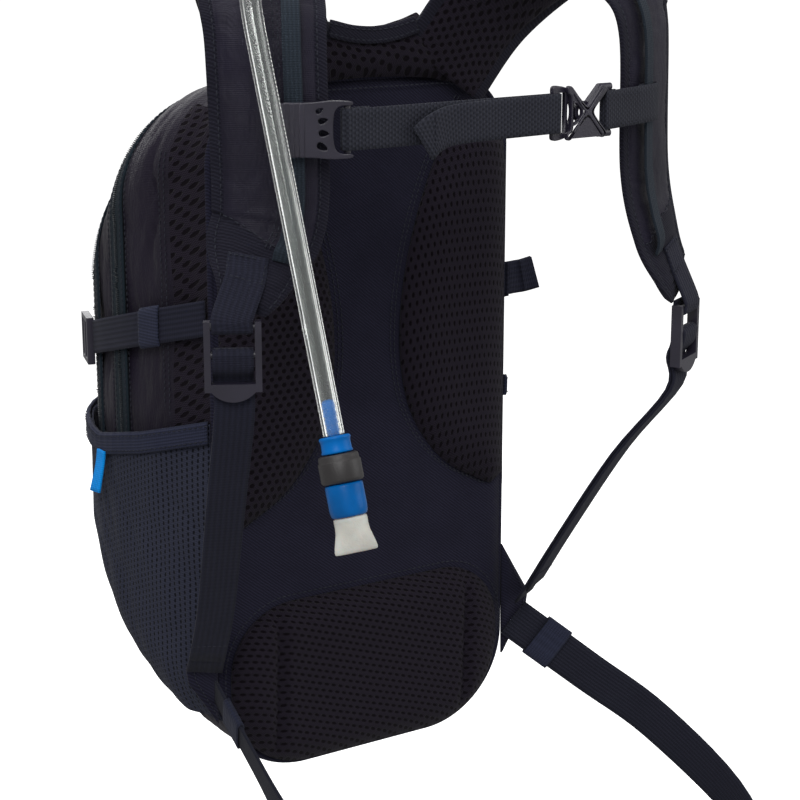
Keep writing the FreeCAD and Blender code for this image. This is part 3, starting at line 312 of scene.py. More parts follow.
def curve_through(points, steps):
    """Points on a smooth curve through the given ones."""
    run = [points[0] * 2 - points[1]] + list(points) + [points[-1] * 2 - points[-2]]
    out = [on_curve(*run[i:i + 4], k / steps) for i in range(len(points) - 1) for k in range(steps)]
    return out + [points[-1].copy()]


def heading(line, i):
    """The direction of a line of points at one of them."""
    return (line[min(i + 1, len(line) - 1)] - line[max(i - 1, 0)]).normalized()


def evenly(points, pitch, closed=False):
    """The same line with evenly spaced points."""
    line = list(points) + ([points[0]] if closed else [])
    total = sum((b - a).length for a, b in zip(line, line[1:]))
    count = max(3, round(total / pitch))
    out, index, base = [], 0, 0.0
    for k in range(count if closed else count + 1):
        at = total * k / count
        while index < len(line) - 2 and base + (line[index + 1] - line[index]).length < at:
            base += (line[index + 1] - line[index]).length
            index += 1
        span = (line[index + 1] - line[index]).length
        out.append(line[index].lerp(line[index + 1], min(1.0, (at - base) / span if span else 0.0)))
    return out


def nearest_on(p, edge):
    """A point's distance from a closed outline, and its place along it."""
    best, place = 1e9, 0.0
    for i, (a, b) in enumerate(zip(edge, edge[1:] + edge[:1])):
        ab = b - a
        t = max(0.0, min(1.0, (p - a).dot(ab) / max(ab.length_squared, 1e-9)))
        gap = (a + ab * t - p).length
        if gap < best - 1e-7:
            best, place = gap, i + t
    return best, place


def padded_sheet(name, edge, back, rise, pitch, finishes, body="pack"):
    """A closed pad over an (x, z) outline: its wearer side stands rise(x, z, depth) off its back."""
    edge = evenly(edge, pitch, closed=True)
    low, high = (Vector((pick(p.x for p in edge), pick(p.y for p in edge))) for pick in (min, max))
    inside = []
    for i in range(int((high.x - low.x) / pitch) + 2):
        for k in range(int((high.y - low.y) / pitch) + 2):
            p = Vector((low.x + (i + 0.5 * (k % 2)) * pitch, low.y + k * pitch * 0.87))
            crossed = sum((a.y > p.y) != (b.y > p.y) and p.x < a.x + (p.y - a.y) * (b.x - a.x) / (b.y - a.y)
                          for a, b in zip(edge, edge[1:] + edge[:1]))
            if crossed % 2 and nearest_on(p, edge)[0] > pitch * 0.55:
                inside.append(p)
    flat, _, tris, *_ = delaunay_2d_cdt(edge + inside, [], [list(range(len(edge)))], 1, 1e-4)
    depths, places = zip(*(nearest_on(p, edge) for p in flat))
    total = len(flat)
    verts = [(p.x, back - rise(p.x, p.y, d), p.y) for p, d in zip(flat, depths)]
    verts += [(p.x, back, p.y) for p in flat]
    faces = [tuple(t) for t in tris] + [tuple(total + i for i in reversed(t)) for t in tris]
    rim = sorted((i for i, d in enumerate(depths) if d < 1e-3), key=lambda i: places[i])
    faces += [(a, b, total + b, total + a) for a, b in zip(rim, rim[1:] + rim[:1])]
    return outward(build(name, verts, faces, finishes, body))


def arc(cx, cz, r, start, end, steps=10):
    turns = [math.radians(start + (end - start) * k / steps) for k in range(steps + 1)]
    return [Vector((cx + r * math.cos(turn), cz + r * math.sin(turn))) for turn in turns]


def rounded(half, bottom, top, r_low, r_high):
    """A rounded outline in (x, z), from the bottom middle round the right side."""
    return (arc(half - r_low, bottom + r_low, r_low, -90, 0) + arc(half - r_high, top - r_high, r_high, 0, 90)
            + arc(-half + r_high, top - r_high, r_high, 90, 180) + arc(-half + r_low, bottom + r_low, r_low, 180, 270))


PANEL_Y, PANEL_BACK = 10.0, 14.0
panel = padded_sheet(
    "twill_panel", rounded(97.5, -51.5, 346.5, 55.0, 45.0), PANEL_BACK,
    lambda x, z, d: 1.6 + 2.3 * min(1.0, d / 9.0) ** 0.5 + 0.5 * noise.noise(Vector((x * 0.02, z * 0.018, 3))),
    6.0, [twill])
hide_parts("back_panel")


def beads_tree():
    """Geometry nodes: one small bead every pitch along a line, lying along it."""
    tree = bpy.data.node_groups.new("beads_along_a_line", "GeometryNodeTree")
    face = tree.interface
    face.new_socket("Line", in_out="INPUT", socket_type="NodeSocketGeometry")
    for socket, kind in (("Pitch", "NodeSocketFloat"), ("Bead", "NodeSocketVector"),
                         ("Finish", "NodeSocketMaterial")):
        face.new_socket(socket, in_out="INPUT", socket_type=kind)
    face.new_socket("Beads", in_out="OUTPUT", socket_type="NodeSocketGeometry")
    made = {}
    for key, kind in (("in", "NodeGroupInput"), ("out", "NodeGroupOutput"),
                      ("curve", "GeometryNodeMeshToCurve"), ("points", "GeometryNodeResampleCurve"),
                      ("bead", "GeometryNodeMeshUVSphere"), ("size", "GeometryNodeTransform"),
                      ("along", "GeometryNodeInputTangent"), ("turn", "FunctionNodeAlignRotationToVector"),
                      ("place", "GeometryNodeInstanceOnPoints"), ("real", "GeometryNodeRealizeInstances"),
                      ("smooth", "GeometryNodeSetShadeSmooth"), ("paint", "GeometryNodeSetMaterial")):
        made[key] = tree.nodes.new(kind)
    made["points"].mode = "LENGTH"
    made["turn"].axis = "Z"
    made["bead"].inputs["Segments"].default_value = 6
    made["bead"].inputs["Rings"].default_value = 4
    made["bead"].inputs["Radius"].default_value = 1.0
    for start, out, end, into in (
        ("in", "Line", "curve", "Mesh"), ("curve", "Curve", "points", "Curve"),
        ("in", "Pitch", "points", "Length"), ("bead", "Mesh", "size", "Geometry"),
        ("in", "Bead", "size", "Scale"), ("along", "Tangent", "turn", "Vector"),
        ("points", "Curve", "place", "Points"), ("size", "Geometry", "place", "Instance"),
        ("turn", "Rotation", "place", "Rotation"), ("place", "Instances", "real", "Geometry"),
        ("real", "Geometry", "smooth", "Geometry"), ("smooth", "Geometry", "paint", "Geometry"),
        ("in", "Finish", "paint", "Material"), ("paint", "Geometry", "out", "Beads"),
    ):
        tree.links.new(made[start].outputs[out], made[end].inputs[into])
    return tree


BEADS = beads_tree()
thread_finish = Finish("thread", "twill", Specular_IOR_Level=0.2)
sewn(thread_finish, (0.020, 0.021, 0.030), (0.034, 0.036, 0.050),
     thread_finish.millimetres()[2].wave(0.7), thread_finish.millimetres()[0].wave(0.6), 0.05)
STITCH = (0.42, 0.42, 1.35)  # half sizes in millimetres, the last along the line
STITCH_PITCH = 3.4


def fine_stitch(half_length):
    return (0.35, 0.35, half_length)


def evaluated(obj):
    """The mesh that an object's curve or modifiers make; the object itself goes."""
    bpy.context.view_layer.update()
    made = bpy.data.meshes.new_from_object(obj.evaluated_get(bpy.context.evaluated_depsgraph_get()))
    bpy.data.objects.remove(obj)
    return made


def beaded(name, lines, body, bead=STITCH, pitch=STITCH_PITCH, finish=thread_finish):
    """Stitches, or a zip's teeth, along lines of points in millimetres."""
    verts, edges = [], []
    for line in lines:
        edges += [(len(verts) + k, len(verts) + k + 1) for k in range(len(line) - 1)]
        verts += [tuple(c * 0.001 for c in p) for p in line]
    mesh = bpy.data.meshes.new(name)
    mesh.from_pydata(verts, edges, [])
    line_obj = bpy.data.objects.new(name + "_line", mesh)
    scene.collection.objects.link(line_obj)
    modifier = line_obj.modifiers.new("beads", "NODES")
    modifier.node_group = BEADS
    ids = {item.name: item.identifier for item in BEADS.interface.items_tree if item.in_out == "INPUT"}
    modifier[ids["Pitch"]] = pitch * 0.001
    modifier[ids["Bead"]] = [b * 0.001 for b in bead]
    modifier[ids["Finish"]] = finish.material
    return placed(name, evaluated(line_obj), body)


def on_panel(p):
    return Vector((p.x, PANEL_Y - 0.1, p.y))


# ---- mesh back pads -----------------------------------------------------------------------------
# Two foam pads under knitted spacer mesh, one each side of the waisted twill; each is sewn down all
# round, so it swells from a thin edge. The lumbar pad has two sewn channels.
def mesh_finish(name, across, up, hole, lean=0.0, warp=0.0):
    """Spacer mesh: staggered oval holes; hole is their half width and half height."""
    finish = cloth_finish(name, "spacer_mesh", 0.12)
    x, y, z = finish.millimetres()
    if warp:
        at = finish.point(x, y, z)
        x = x + (finish.speckle(at, 0.06) - 0.5) * warp
        z = z + (finish.speckle(at, 0.05) - 0.5) * warp
    z = z + x * lean + y * 0.6
    shifted = x + z.whole(up).odd() * (across / 2)
    u, v = shifted.cell(across) * across, z.cell(up) * up
    ring = ((u / hole[0]) ** 2 + (v / hole[1]) ** 2) ** 0.5
    solid = ring.step(0.75, 1.15)
    yarn = (x * 0.7 + z).wave(1.1) * 0.5 + (x - z * 0.7).wave(1.1) * 0.5
    thread = solid * (0.75 + yarn * 0.25)
    cloth = finish.blend(yarn.step(0.2, 0.8), (0.0085, 0.0060, 0.0115), (0.0180, 0.0140, 0.0240))
    color = finish.blend(solid, (0.0030, 0.0014, 0.0036), cloth)
    return finish.paint(color, 0.95 - solid * 0.15, thread, 0.9)


pad_mesh = mesh_finish("honeycomb_mesh", 5.2, 3.9, (1.5, 1.35))
slot_mesh = mesh_finish("slotted_mesh", 3.6, 5.4, (0.8, 1.7))
lumbar_mesh = mesh_finish("slanted_mesh", 4.6, 4.0, (1.6, 0.95), lean=0.35)

PAD_INNER = [(66, 330), (50, 305), (34, 266), (24, 222), (23, 180), (32, 146), (54, 117), (86, 98)]
inner_line = curve_through([Vector(p) for p in PAD_INNER], 6)
pad_edge = inner_line + [Vector(p) for p in ((95, 104), (95, 290), (93, 306), (87, 315), (78, 323))]


def pad_rise(x, z, d):
    full = 1.0 - (1.0 - min(1.0, d / 24.0)) ** 2.2
    return 1.6 + 8.0 * full + 0.6 * noise.noise(Vector((x * 0.03, z * 0.025, 9))) * full


for side, sign, finish in (("right", 1, slot_mesh), ("left", -1, pad_mesh)):
    edge = [Vector((p.x * sign, p.y)) for p in pad_edge]
    pad = padded_sheet("mesh_pad_" + side, edge if sign > 0 else edge[::-1], PANEL_Y, pad_rise, 5.0, [finish])
    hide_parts("back_pad_" + side)

LUMBAR_HALF, LUMBAR_HEIGHT, CHANNELS = 92.0, 50.0, (-64.0, 66.0)


def lumbar_rise(x, z, d):
    full = 1.0 - (1.0 - min(1.0, d / 20.0)) ** 2.4
    groove = sum(math.exp(-((x - c - 0.03 * z) / 2.6) ** 2) for c in CHANNELS) * min(1.0, d / 10.0)
    return 1.4 + 8.3 * full * (1.0 - 0.62 * groove) + 0.5 * noise.noise(Vector((x * 0.03, z * 0.03, 5))) * full


lumbar = padded_sheet("lumbar_mesh_pad", rounded(LUMBAR_HALF, -LUMBAR_HEIGHT, LUMBAR_HEIGHT, 49.0, 40.0),
                      PANEL_Y, lumbar_rise, 3.6, [lumbar_mesh])
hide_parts("lumbar_pad")

beside_pads = [[on_panel(p * 1.0 - Vector((3.6, -1.2))) for p in inner_line]]
beside_pads += [[Vector((-p.x, p.y, p.z)) for p in beside_pads[0]]]
beside_pads += [[p + Vector((-2.6 if p.x > 0 else 2.6, 0, 0.6)) for p in line] for line in beside_pads[:2]]
over_lumbar = [on_panel(p) for p in rounded(LUMBAR_HALF + 3.5, -46, LUMBAR_HEIGHT + 3.5, 48.0, 42.0)[10:34]]
top_line = [on_panel(p) for p in rounded(92.0, -46.0, 340.0, 50.0, 42.0)[11:33]]
beaded("panel_stitches", beside_pads + [over_lumbar, top_line], "pack")


# ---- bag ----------------------------------------------------------------------------------------
# The main compartment and the front pocket: thin crinkled nylon over lining, cut as gussets and sewn
# at the back seam. Beside the back seam the gusset is a strip of open diamond mesh.
# Each section: y, half width, bottom, top, bottom radius, top radius.
SECTIONS = [(14, 98, -52, 347, 55, 45), (45, 112, -44, 346, 64, 52), (80, 118, -26, 334, 68, 60),
            (108, 118, -4, 312, 70, 66), (135, 110, 30, 282, 64, 66), (153, 92, 62, 250, 50, 56),
            (160, 70, 92, 222, 40, 44)]
MESH_STRIP_TO = 39.0


def section_at(y):
    for i, (a, b) in enumerate(zip(SECTIONS, SECTIONS[1:])):
        if y <= b[0] or i == len(SECTIONS) - 2:
            t = (y - a[0]) / (b[0] - a[0])
            before, after = SECTIONS[max(i - 1, 0)], SECTIONS[min(i + 2, len(SECTIONS) - 1)]
            out = []
            for k in range(1, 6):
                ta = (b[k] - before[k]) / (b[0] - before[0]) * (b[0] - a[0])
                tb = (after[k] - a[k]) / (after[0] - a[0]) * (b[0] - a[0])
                out.append((2 * t ** 3 - 3 * t * t + 1) * a[k] + (t ** 3 - 2 * t * t + t) * ta
                           + (-2 * t ** 3 + 3 * t * t) * b[k] + (t ** 3 - t * t) * tb)
            return out


def on_section(y, share, bulge=0.0):
    """A point of the bag's skin and its outward normal in (x, z); share runs from the bottom middle
    round the right side (a quarter), the top (half) and back down the left."""
    half, bottom, top, r_low, r_high = section_at(y)
    half, r_low, r_high = half + bulge, r_low + bulge, r_high + bulge
    mirror = share > 0.5
    part = (1.0 - share if mirror else share) * 2.0
    runs = [half - r_low, r_low * math.pi / 2, (top - r_high) - (bottom + r_low), r_high * math.pi / 2, half - r_high]
    at = part * sum(runs)
    if at <= runs[0]:
        x, z, nx, nz = at, bottom, 0.0, -1.0
    elif at <= sum(runs[:2]):
        turn = (at - runs[0]) / r_low
        nx, nz = math.sin(turn), -math.cos(turn)
        x, z = half - r_low + r_low * nx, bottom + r_low + r_low * nz
    elif at <= sum(runs[:3]):
        x, z, nx, nz = half, bottom + r_low + at - sum(runs[:2]), 1.0, 0.0
    elif at <= sum(runs[:4]):
        turn = (at - sum(runs[:3])) / r_high
        nx, nz = math.cos(turn), math.sin(turn)
        x, z = half - r_high + r_high * nx, top - r_high + r_high * nz
    else:
        x, z, nx, nz = half - r_high - (at - sum(runs[:4])), top, 0.0, 1.0
    return (-x if mirror else x), z, (-nx if mirror else nx), nz


def skin(y, share, lift=0.0, bulge=0.0):
    """The same point in space, lifted off the skin along its true normal."""
    x, z, nx, nz = on_section(y, share, bulge)
    near_y, far_y = max(y - 1.0, SECTIONS[0][0]), min(y + 1.0, SECTIONS[-1][0])
    near, far = on_section(near_y, share, bulge), on_section(far_y, share, bulge)
    rise = ((far[0] - near[0]) * nx + (far[1] - near[1]) * nz) / max(far_y - near_y, 1)
    normal = Vector((nx, -rise, nz)).normalized()
    return Vector((x, y, z)) + normal * lift


def folds(y, p):
    """How far the loose nylon falls inward, in millimetres."""
    side = 7.0 if p.x > 0 else 0.0
    large = noise.noise(Vector((y * 0.022 + side, p.z * 0.011, side)))
    ridge = 1.0 - abs(noise.noise(Vector((y * 0.055 + side, p.z * 0.016 + y * 0.01, 4.0 + side)))) * 2.2
    small = 1.0 - abs(noise.noise(Vector((y * 0.11, p.z * 0.05 + side, p.x * 0.03)))) * 2.0
    calm = min(1.0, (y - 14.0) / 12.0)
    fall = 0.9 + 1.7 * large + 1.1 * max(0.0, ridge) ** 3 + 0.45 * max(0.0, small) ** 4
    if p.x < 0:  # one long pleat beside the left strap
        pleat = (y - 50.0 - 3.0 * math.sin(p.z * 0.13)) / 2.3
        fall += 3.2 * math.exp(-pleat ** 2) * math.exp(-((p.z - 283) / 30.0) ** 4)
    if abs(p.x) > 60:
        fall += 2.0 * math.exp(-((p.z - 225.0 + 0.27 * y) / 22.0) ** 2)
    return fall * calm


def nylon_finish(name, tint, slot="nylon"):
    """Thin coated nylon, crumpled at several sizes, with a fine plain weave."""
    finish = cloth_finish(name, slot, 0.24, fuzz=0.4)
    x, y, z = finish.millimetres()
    crumple = finish.speckle(finish.point(x + y, y * 2.0, z * 0.6), 0.055, 4.0, 0.62)
    ridge = 1.0 - abs(finish.speckle(finish.point(x, y * 1.5, z * 0.5), 0.03, 3.0) - 0.5) * 3.0
    weave = (x + y).wave(0.9) * 0.5 + z.wave(0.9) * 0.5
    height = crumple * 0.55 + ridge.step(0.2, 1.0) * 0.4 + weave * 0.05
    base = finish.blend(finish.mottle(0.02).step(0.3, 0.7), tint, shade(tint, 1.45))
    return finish.paint(finish.blend(weave * 0.35, base, shade(tint, 0.6)), 0.50 + crumple * 0.22, height, 3.2)


nylon = nylon_finish("crinkled_nylon", (0.0078, 0.0052, 0.0135))
strip_mesh = mesh_finish("diamond_mesh", 4.4, 4.4, (1.35, 1.35))


def ring_faces(rings, sides, loop=False, ends=True):
    """Quads between rings of points, with a face over each end, or joined round as a loop."""
    faces = []
    for k in range(rings if loop else rings - 1):
        here, ahead = k * sides, (k + 1) % rings * sides
        faces += [(here + j, here + (j + 1) % sides, ahead + (j + 1) % sides, ahead + j) for j in range(sides)]
    if ends:
        faces += [tuple(reversed(range(sides))), tuple((rings - 1) * sides + j for j in range(sides))]
    return faces


ROUND, CAP_RINGS = 288, 9
FRONT_Y, POLE_Z = 158.6, 157.0  # the front's flat middle, closed over rings that shrink to a pole
SLACK, SLACK_MOST = 0.4, 5.0
rows = [14.0, 15.5, 18.0] + [20.0 + 3.0 * k for k in range(44)] + [153.5, 155.5, 157.5, 159.0]
verts = []
for y in rows:
    for share in (k / ROUND for k in range(ROUND)):
        verts.append(skin(y, share, SLACK - min(folds(y, skin(y, share)), SLACK_MOST)))
for ring in range(1, CAP_RINGS + 1):
    shrink = 1.0 - ring / CAP_RINGS
    for k in range(ROUND):
        x, z, _, _ = on_section(SECTIONS[-1][0], k / ROUND)
        x, z = x * shrink, POLE_Z + (z - POLE_Z) * shrink
        fall = noise.noise(Vector((x * 0.03, z * 0.03, 2))) * 1.2 * min(1.0, (1 - shrink) * 2)
        edge_round = 1.4 * (1 - (1 - min(1.0, ring / 4.0)) ** 2)
        verts.append(Vector((x, FRONT_Y + edge_round + fall, z)))
faces, chosen = ring_faces(len(rows) + CAP_RINGS, ROUND, ends=False), []
for first, *_ in faces:
    row, at = first // ROUND, verts[first]
    in_strip = row < len(rows) and rows[row] < MESH_STRIP_TO - 1.5
    chosen.append(1 if in_strip and abs(at.x) > 62 and 60 < at.z < 335 else 0)
bag = outward(build("bag_skin", verts, faces, [nylon, strip_mesh], "pack", chosen=chosen))
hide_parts("main_shell", "front_pocket_shell")


def share_at(y, z, left, bulge=0.0):
    """Where the skin reaches a height on one side."""
    low, high = 0.10, 0.44
    for _ in range(30):
        middle = (low + high) / 2
        if on_section(y, middle, bulge)[1] < z:
            low = middle
        else:
            high = middle
    return 1.0 - low if left else low


def over_top(y, z_from, lift, count=170):
    """A line on the skin from the right side over the top to the left."""
    start, end = share_at(y, z_from, False), share_at(y, z_from, True)
    return [skin(y, start + (end - start) * k / count, lift) for k in range(count + 1)]


# The back seam: the panel, gusset and binding are sewn together as one rounded cord of folded tape.
PIPING_R, PIPING_SIDES = 2.1, 8
verts = []
for k in range(ROUND):
    centre = skin(SECTIONS[0][0], k / ROUND, -1.2)
    _, _, nx, nz = on_section(SECTIONS[0][0], k / ROUND)
    for turn in (2 * math.pi * j / PIPING_SIDES for j in range(PIPING_SIDES)):
        outer, toward_back = PIPING_R * math.cos(turn), PIPING_R * math.sin(turn) + 0.6
        verts.append(centre + Vector((nx * outer, -toward_back, nz * outer)))
outward(build("back_seam_binding", verts, ring_faces(ROUND, PIPING_SIDES, loop=True, ends=False), [twill], "pack"))
strip_seam = [[skin(y, share_at(y, 128 + k * 4.0, True), -0.6) for k in range(46)] for y in (41.0, 44.5)]
strip_seam += [[Vector((-p.x, p.y, p.z)) for p in line] for line in strip_seam]
beaded("gusset_stitches", strip_seam, "pack", bead=fine_stitch(1.3))


# ---- zips ---------------------------------------------------------------------------------------
# Two coil zips run from under one side pocket over the top to the other. A dark teal woven tape
# carries the nylon coil, and each side of the tape is sewn down with one row.
MAIN_ZIP_Y, FRONT_ZIP_Y, ZIP_LOW, TAPE_HALF = 85.0, 122.0, 120.0, 7.0
ZIP_SEAMS = (-9.6, -5.2, 5.2, 9.6)
COIL_TOOTH, COIL_PITCH = (0.62, 2.2, 0.36), 1.15


def tape_finish(name, base, pitch=1.5):
    finish = cloth_finish(name, "zip_tape", 0.15)
    x, y, z = finish.millimetres()
    rib = (y + (x * 0.35)).wave(pitch)
    cross = (x + z).wave(1.1)
    return sewn(finish, base, shade(base, 1.8), rib * 0.7 + cross * 0.3, rib * 0.6 + cross * 0.4, 0.18)


tape = tape_finish("teal_tape", (0.0075, 0.0130, 0.0185))
coil_finish = Finish("zip_coil", "zip_tape", Specular_IOR_Level=0.3)
cx, cy, cz = coil_finish.millimetres()
coil_finish.paint(coil_finish.blend(cx.wave(3.0), (0.0070, 0.0095, 0.0130), (0.0125, 0.0170, 0.0230)),
                  coil_finish.speckle(coil_finish.point(cx, cy, cz), 0.3) * 0.2 + 0.32)


def skin_tape(name, y_mid, half, lift, thick, finish, z_from):
    """A closed band on the skin over the top."""
    across = [-1.0, -0.72, -0.4, -0.2, 0.0, 0.2, 0.4, 0.72, 1.0]
    lines = [over_top(y_mid + half * a, z_from, lift) for a in across]
    lines += [over_top(y_mid + half * a, z_from, lift - thick) for a in reversed(across)]
    verts = [line[k] for k in range(len(lines[0])) for line in lines]
    return outward(build(name, verts, ring_faces(len(lines[0]), len(lines)), [finish], "pack"))


for name, y_mid in (("main_zip", MAIN_ZIP_Y), ("front_zip", FRONT_ZIP_Y)):
    band_obj = skin_tape(name + "_tape", y_mid, TAPE_HALF, 0.9, 1.4, tape, ZIP_LOW)
    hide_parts(name)
    beaded(name + "_coil", [over_top(y_mid, ZIP_LOW, 1.0)], "pack", bead=COIL_TOOTH, pitch=COIL_PITCH,
           finish=coil_finish)
    rows_beside = [over_top(y_mid + off, ZIP_LOW, 0.35 if abs(off) > TAPE_HALF else 1.0) for off in ZIP_SEAMS]
    beaded(name + "_stitches", rows_beside, "pack", bead=fine_stitch(1.3))


# ---- side pockets -------------------------------------------------------------------------------
# Stretch knit pockets on both gussets: charcoal rib knit with columns of small slots, gathered by a
# folded elastic binding along the mouth. A short blue tape tab hangs under the left binding.
BULGE = [(14, 0.6), (45, 5.0), (80, 8.0), (108, 7.5), (135, 5.0), (147, 2.2)]
MOUTH = [(14.3, 163.0), (55.0, 151.0), (96.0, 142.0), (122.0, 144.6), (147.0, 149.6)]
POCKET_LOW, BINDING = -24.0, 13.0


def along_line(table, y):
    for a, b in zip(table, table[1:]):
        if y <= b[0]:
            t = max(0.0, (y - a[0]) / (b[0] - a[0]))
            return a[1] + (b[1] - a[1]) * t
    return table[-1][1]


def knit_finish():
    """Rib knit on its own UV map, with a column of small slots in each rib."""
    finish = cloth_finish("rib_knit", "stretch_knit", 0.12, sheen=0.04)
    x, y, _ = finish.millimetres("UV")
    rib_pitch, slot_pitch = 2.9, 3.4
    slot_y = (y + x.whole(rib_pitch) * 1.3).cell(slot_pitch) * slot_pitch
    slot = (((x.cell(rib_pitch) * rib_pitch) / 0.55) ** 2 + (slot_y / 1.15) ** 2) ** 0.5
    solid = slot.step(0.7, 1.3)
    yarn = (y * 0.9 + x * 0.4).wave(0.95)
    mottle = finish.mottle(0.03)
    cloth = finish.blend(yarn * 0.6 + mottle * 0.4, (0.0165, 0.0180, 0.0310), (0.0390, 0.0430, 0.0690))
    color = finish.blend(solid, (0.0050, 0.0055, 0.0100), cloth)
    height = solid * 0.6 + x.wave(rib_pitch) * 0.25 + yarn * 0.15
    return finish.paint(color, 0.9 - mottle * 0.12, height, 0.5)


def elastic_finish(name, slot, base, pitch=1.8):
    """Woven elastic: fine lengthwise ribs on its own UV map, across in x and along in y."""
    finish = cloth_finish(name, slot, 0.18)
    x, y, _ = finish.millimetres("UV")
    mottle = finish.mottle(0.05)
    thread = x.wave(pitch) * 0.65 + y.wave(1.15) * 0.35
    color = finish.blend(thread * 0.7 + mottle * 0.3, base, shade(base, 2.1))
    return finish.paint(color, 0.88 - mottle * 0.14, thread, 0.4)


knit = knit_finish()
binding_elastic = elastic_finish("folded_elastic", "elastic", (0.0130, 0.0150, 0.0300))


def pocket_skin(y, z, left, lift, bulge=None):
    """A point over the gusset at a height, bulged as the pocket is unless told otherwise."""
    bulge = along_line(BULGE, y) if bulge is None else bulge
    return skin(y, share_at(y, z, left, bulge), lift, bulge)


def pocket_soft(y, z):
    """The knit's slack: shallow creases that fan up to the binding."""
    fan = noise.noise(Vector((y * 0.09 + z * 0.018, z * 0.012, 1.5)))
    deep = 1.0 - abs(noise.noise(Vector((y * 0.05 - z * 0.02, z * 0.02, 6.5)))) * 2.4
    return 1.0 * fan - 1.3 * max(0.0, deep) ** 3 - 0.3


def side_surface(name, left, low_high, lift_of, thick, finish, columns, levels, y_from, y_to,
                 bulge=None, centre=None):
    """A closed cloth wall over the gusset: outer grid, inner grid and their rim."""
    grids, uv = [], []
    for inner in (0, 1):
        for i in range(columns + 1):
            y = y_from + (y_to - y_from) * i / columns
            low, high = low_high(y)
            for k in range(levels + 1):
                z = low + (high - low) * k / levels
                p = pocket_skin(y, z, left, lift_of(y, z, k / levels) - inner * thick, bulge)
                grids.append(p)
                uv.append((y, z))
    across, count = levels + 1, (columns + 1) * (levels + 1)
    faces = []
    for i in range(columns):
        for k in range(levels):
            a = i * across + k
            faces.append((a, a + across, a + across + 1, a + 1))
            faces.append(tuple(count + v for v in (a + 1, a + across + 1, a + across, a)))
    ring = [i * across for i in range(columns)] + [columns * across + k for k in range(levels)]
    ring += [i * across + levels for i in range(columns, 0, -1)] + [k for k in range(levels, 0, -1)]
    faces += [(a, b, count + b, count + a) for a, b in zip(ring, ring[1:] + ring[:1])]
    if centre:
        uv = [(z - centre(y), y) for y, z in uv]
    return outward(build(name, grids, faces, [finish], "pack", uv=uv))


POCKET_FROM, POCKET_TO = 15.0, 147.0


def binding_lift(y, z, t):
    """The gathered elastic: rounded over its width, and rippled along the mouth."""
    return 2.6 + 0.7 * (1 - (2 * t - 1) ** 6) + 0.35 * math.sin(y * 0.9) * (0.3 + 0.4 * t)


for side, left in (("left", True), ("right", False)):
    pocket = side_surface("knit_pocket_" + side, left,
                          lambda y: (POCKET_LOW + max(0.0, y - 80) * 0.5, along_line(MOUTH, y) - 2.0),
                          lambda y, z, t: 1.0 + pocket_soft(y, z), 1.1, knit, 44, 64, POCKET_FROM, POCKET_TO)
    binding = side_surface("pocket_binding_" + side, left,
                           lambda y: (along_line(MOUTH, y) - BINDING, along_line(MOUTH, y)), binding_lift,
                           2.0, binding_elastic, 60, 8, POCKET_FROM, POCKET_TO,
                           centre=lambda y: along_line(MOUTH, y))
    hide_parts("side_pocket_" + side)
    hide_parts("pocket_band_" + side)
    seam_ys = [POCKET_FROM + 2.2 * k for k in range(60)]
    seam = [[pocket_skin(y, along_line(MOUTH, y) - BINDING + off, left, 3.6) for y in seam_ys] for off in (2.2, 10.6)]
    beaded("pocket_stitches_" + side, seam, "pack", bead=fine_stitch(1.2))


# The tab: a doubled length of blue grosgrain tape, sewn under the binding.
def tape_mesh(name, stations, thick, finish, body, crown=0.0, steps=5):
    """Webbing through (middle, width direction, width) stations in millimetres, with its UV map:
    across in x, along in y. Both faces, both edges and both ends are closed."""
    middles = curve_through([Vector(s[0]) for s in stations], steps)
    hints = curve_through([Vector(s[1]) for s in stations], steps)
    widths = [p.x for p in curve_through([Vector((s[2], 0, 0)) for s in stations], steps)]
    face_us = (0.985, 0.7, 0.35, 0.0, -0.35, -0.7, -0.985)
    profile = [(-1.0, -0.45)] + [(-u, -1.0) for u in face_us] + [(1.0, -0.45), (1.0, 0.45)]
    profile += [(u, 1.0) for u in face_us] + [(-1.0, 0.45)]
    verts, uv, along = [], [], 0.0
    for i, middle in enumerate(middles):
        tangent = heading(middles, i)
        across = (hints[i] - tangent * hints[i].dot(tangent)).normalized()
        face = tangent.cross(across)
        along += (middle - middles[i - 1]).length if i else 0.0
        for u, w in profile:
            verts.append(middle + across * (u * widths[i] / 2) + face * (w * thick / 2 + crown * (1 - u * u)))
            uv.append((u * widths[i] / 2, along))
    return outward(build(name, verts, ring_faces(len(middles), len(profile)), [finish], body, uv=uv))


blue_tape = elastic_finish("blue_grosgrain", "blue_tape", (0.0008, 0.17, 0.56), pitch=1.4)
low, high = (Vector(c) * 1000 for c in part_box("pocket_pull"))
tab_x = (low.x + high.x) / 2
tab_line = [((tab_x - 4.2, 90, high.z + 2.6), (-0.12, 1, 0), 7.6), ((tab_x - 4.9, 90, high.z - 3), (-0.14, 1, 0), 7.6),
            ((tab_x - 6.6, 89, high.z - 9), (-0.16, 1, 0), 7.6), ((tab_x - 10.0, 88, low.z + 5), (-0.22, 1, 0.1), 8.2)]
tab = tape_mesh("blue_tab", tab_line, 1.5, blue_tape, "pocket_tab")
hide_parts("pocket_pull")


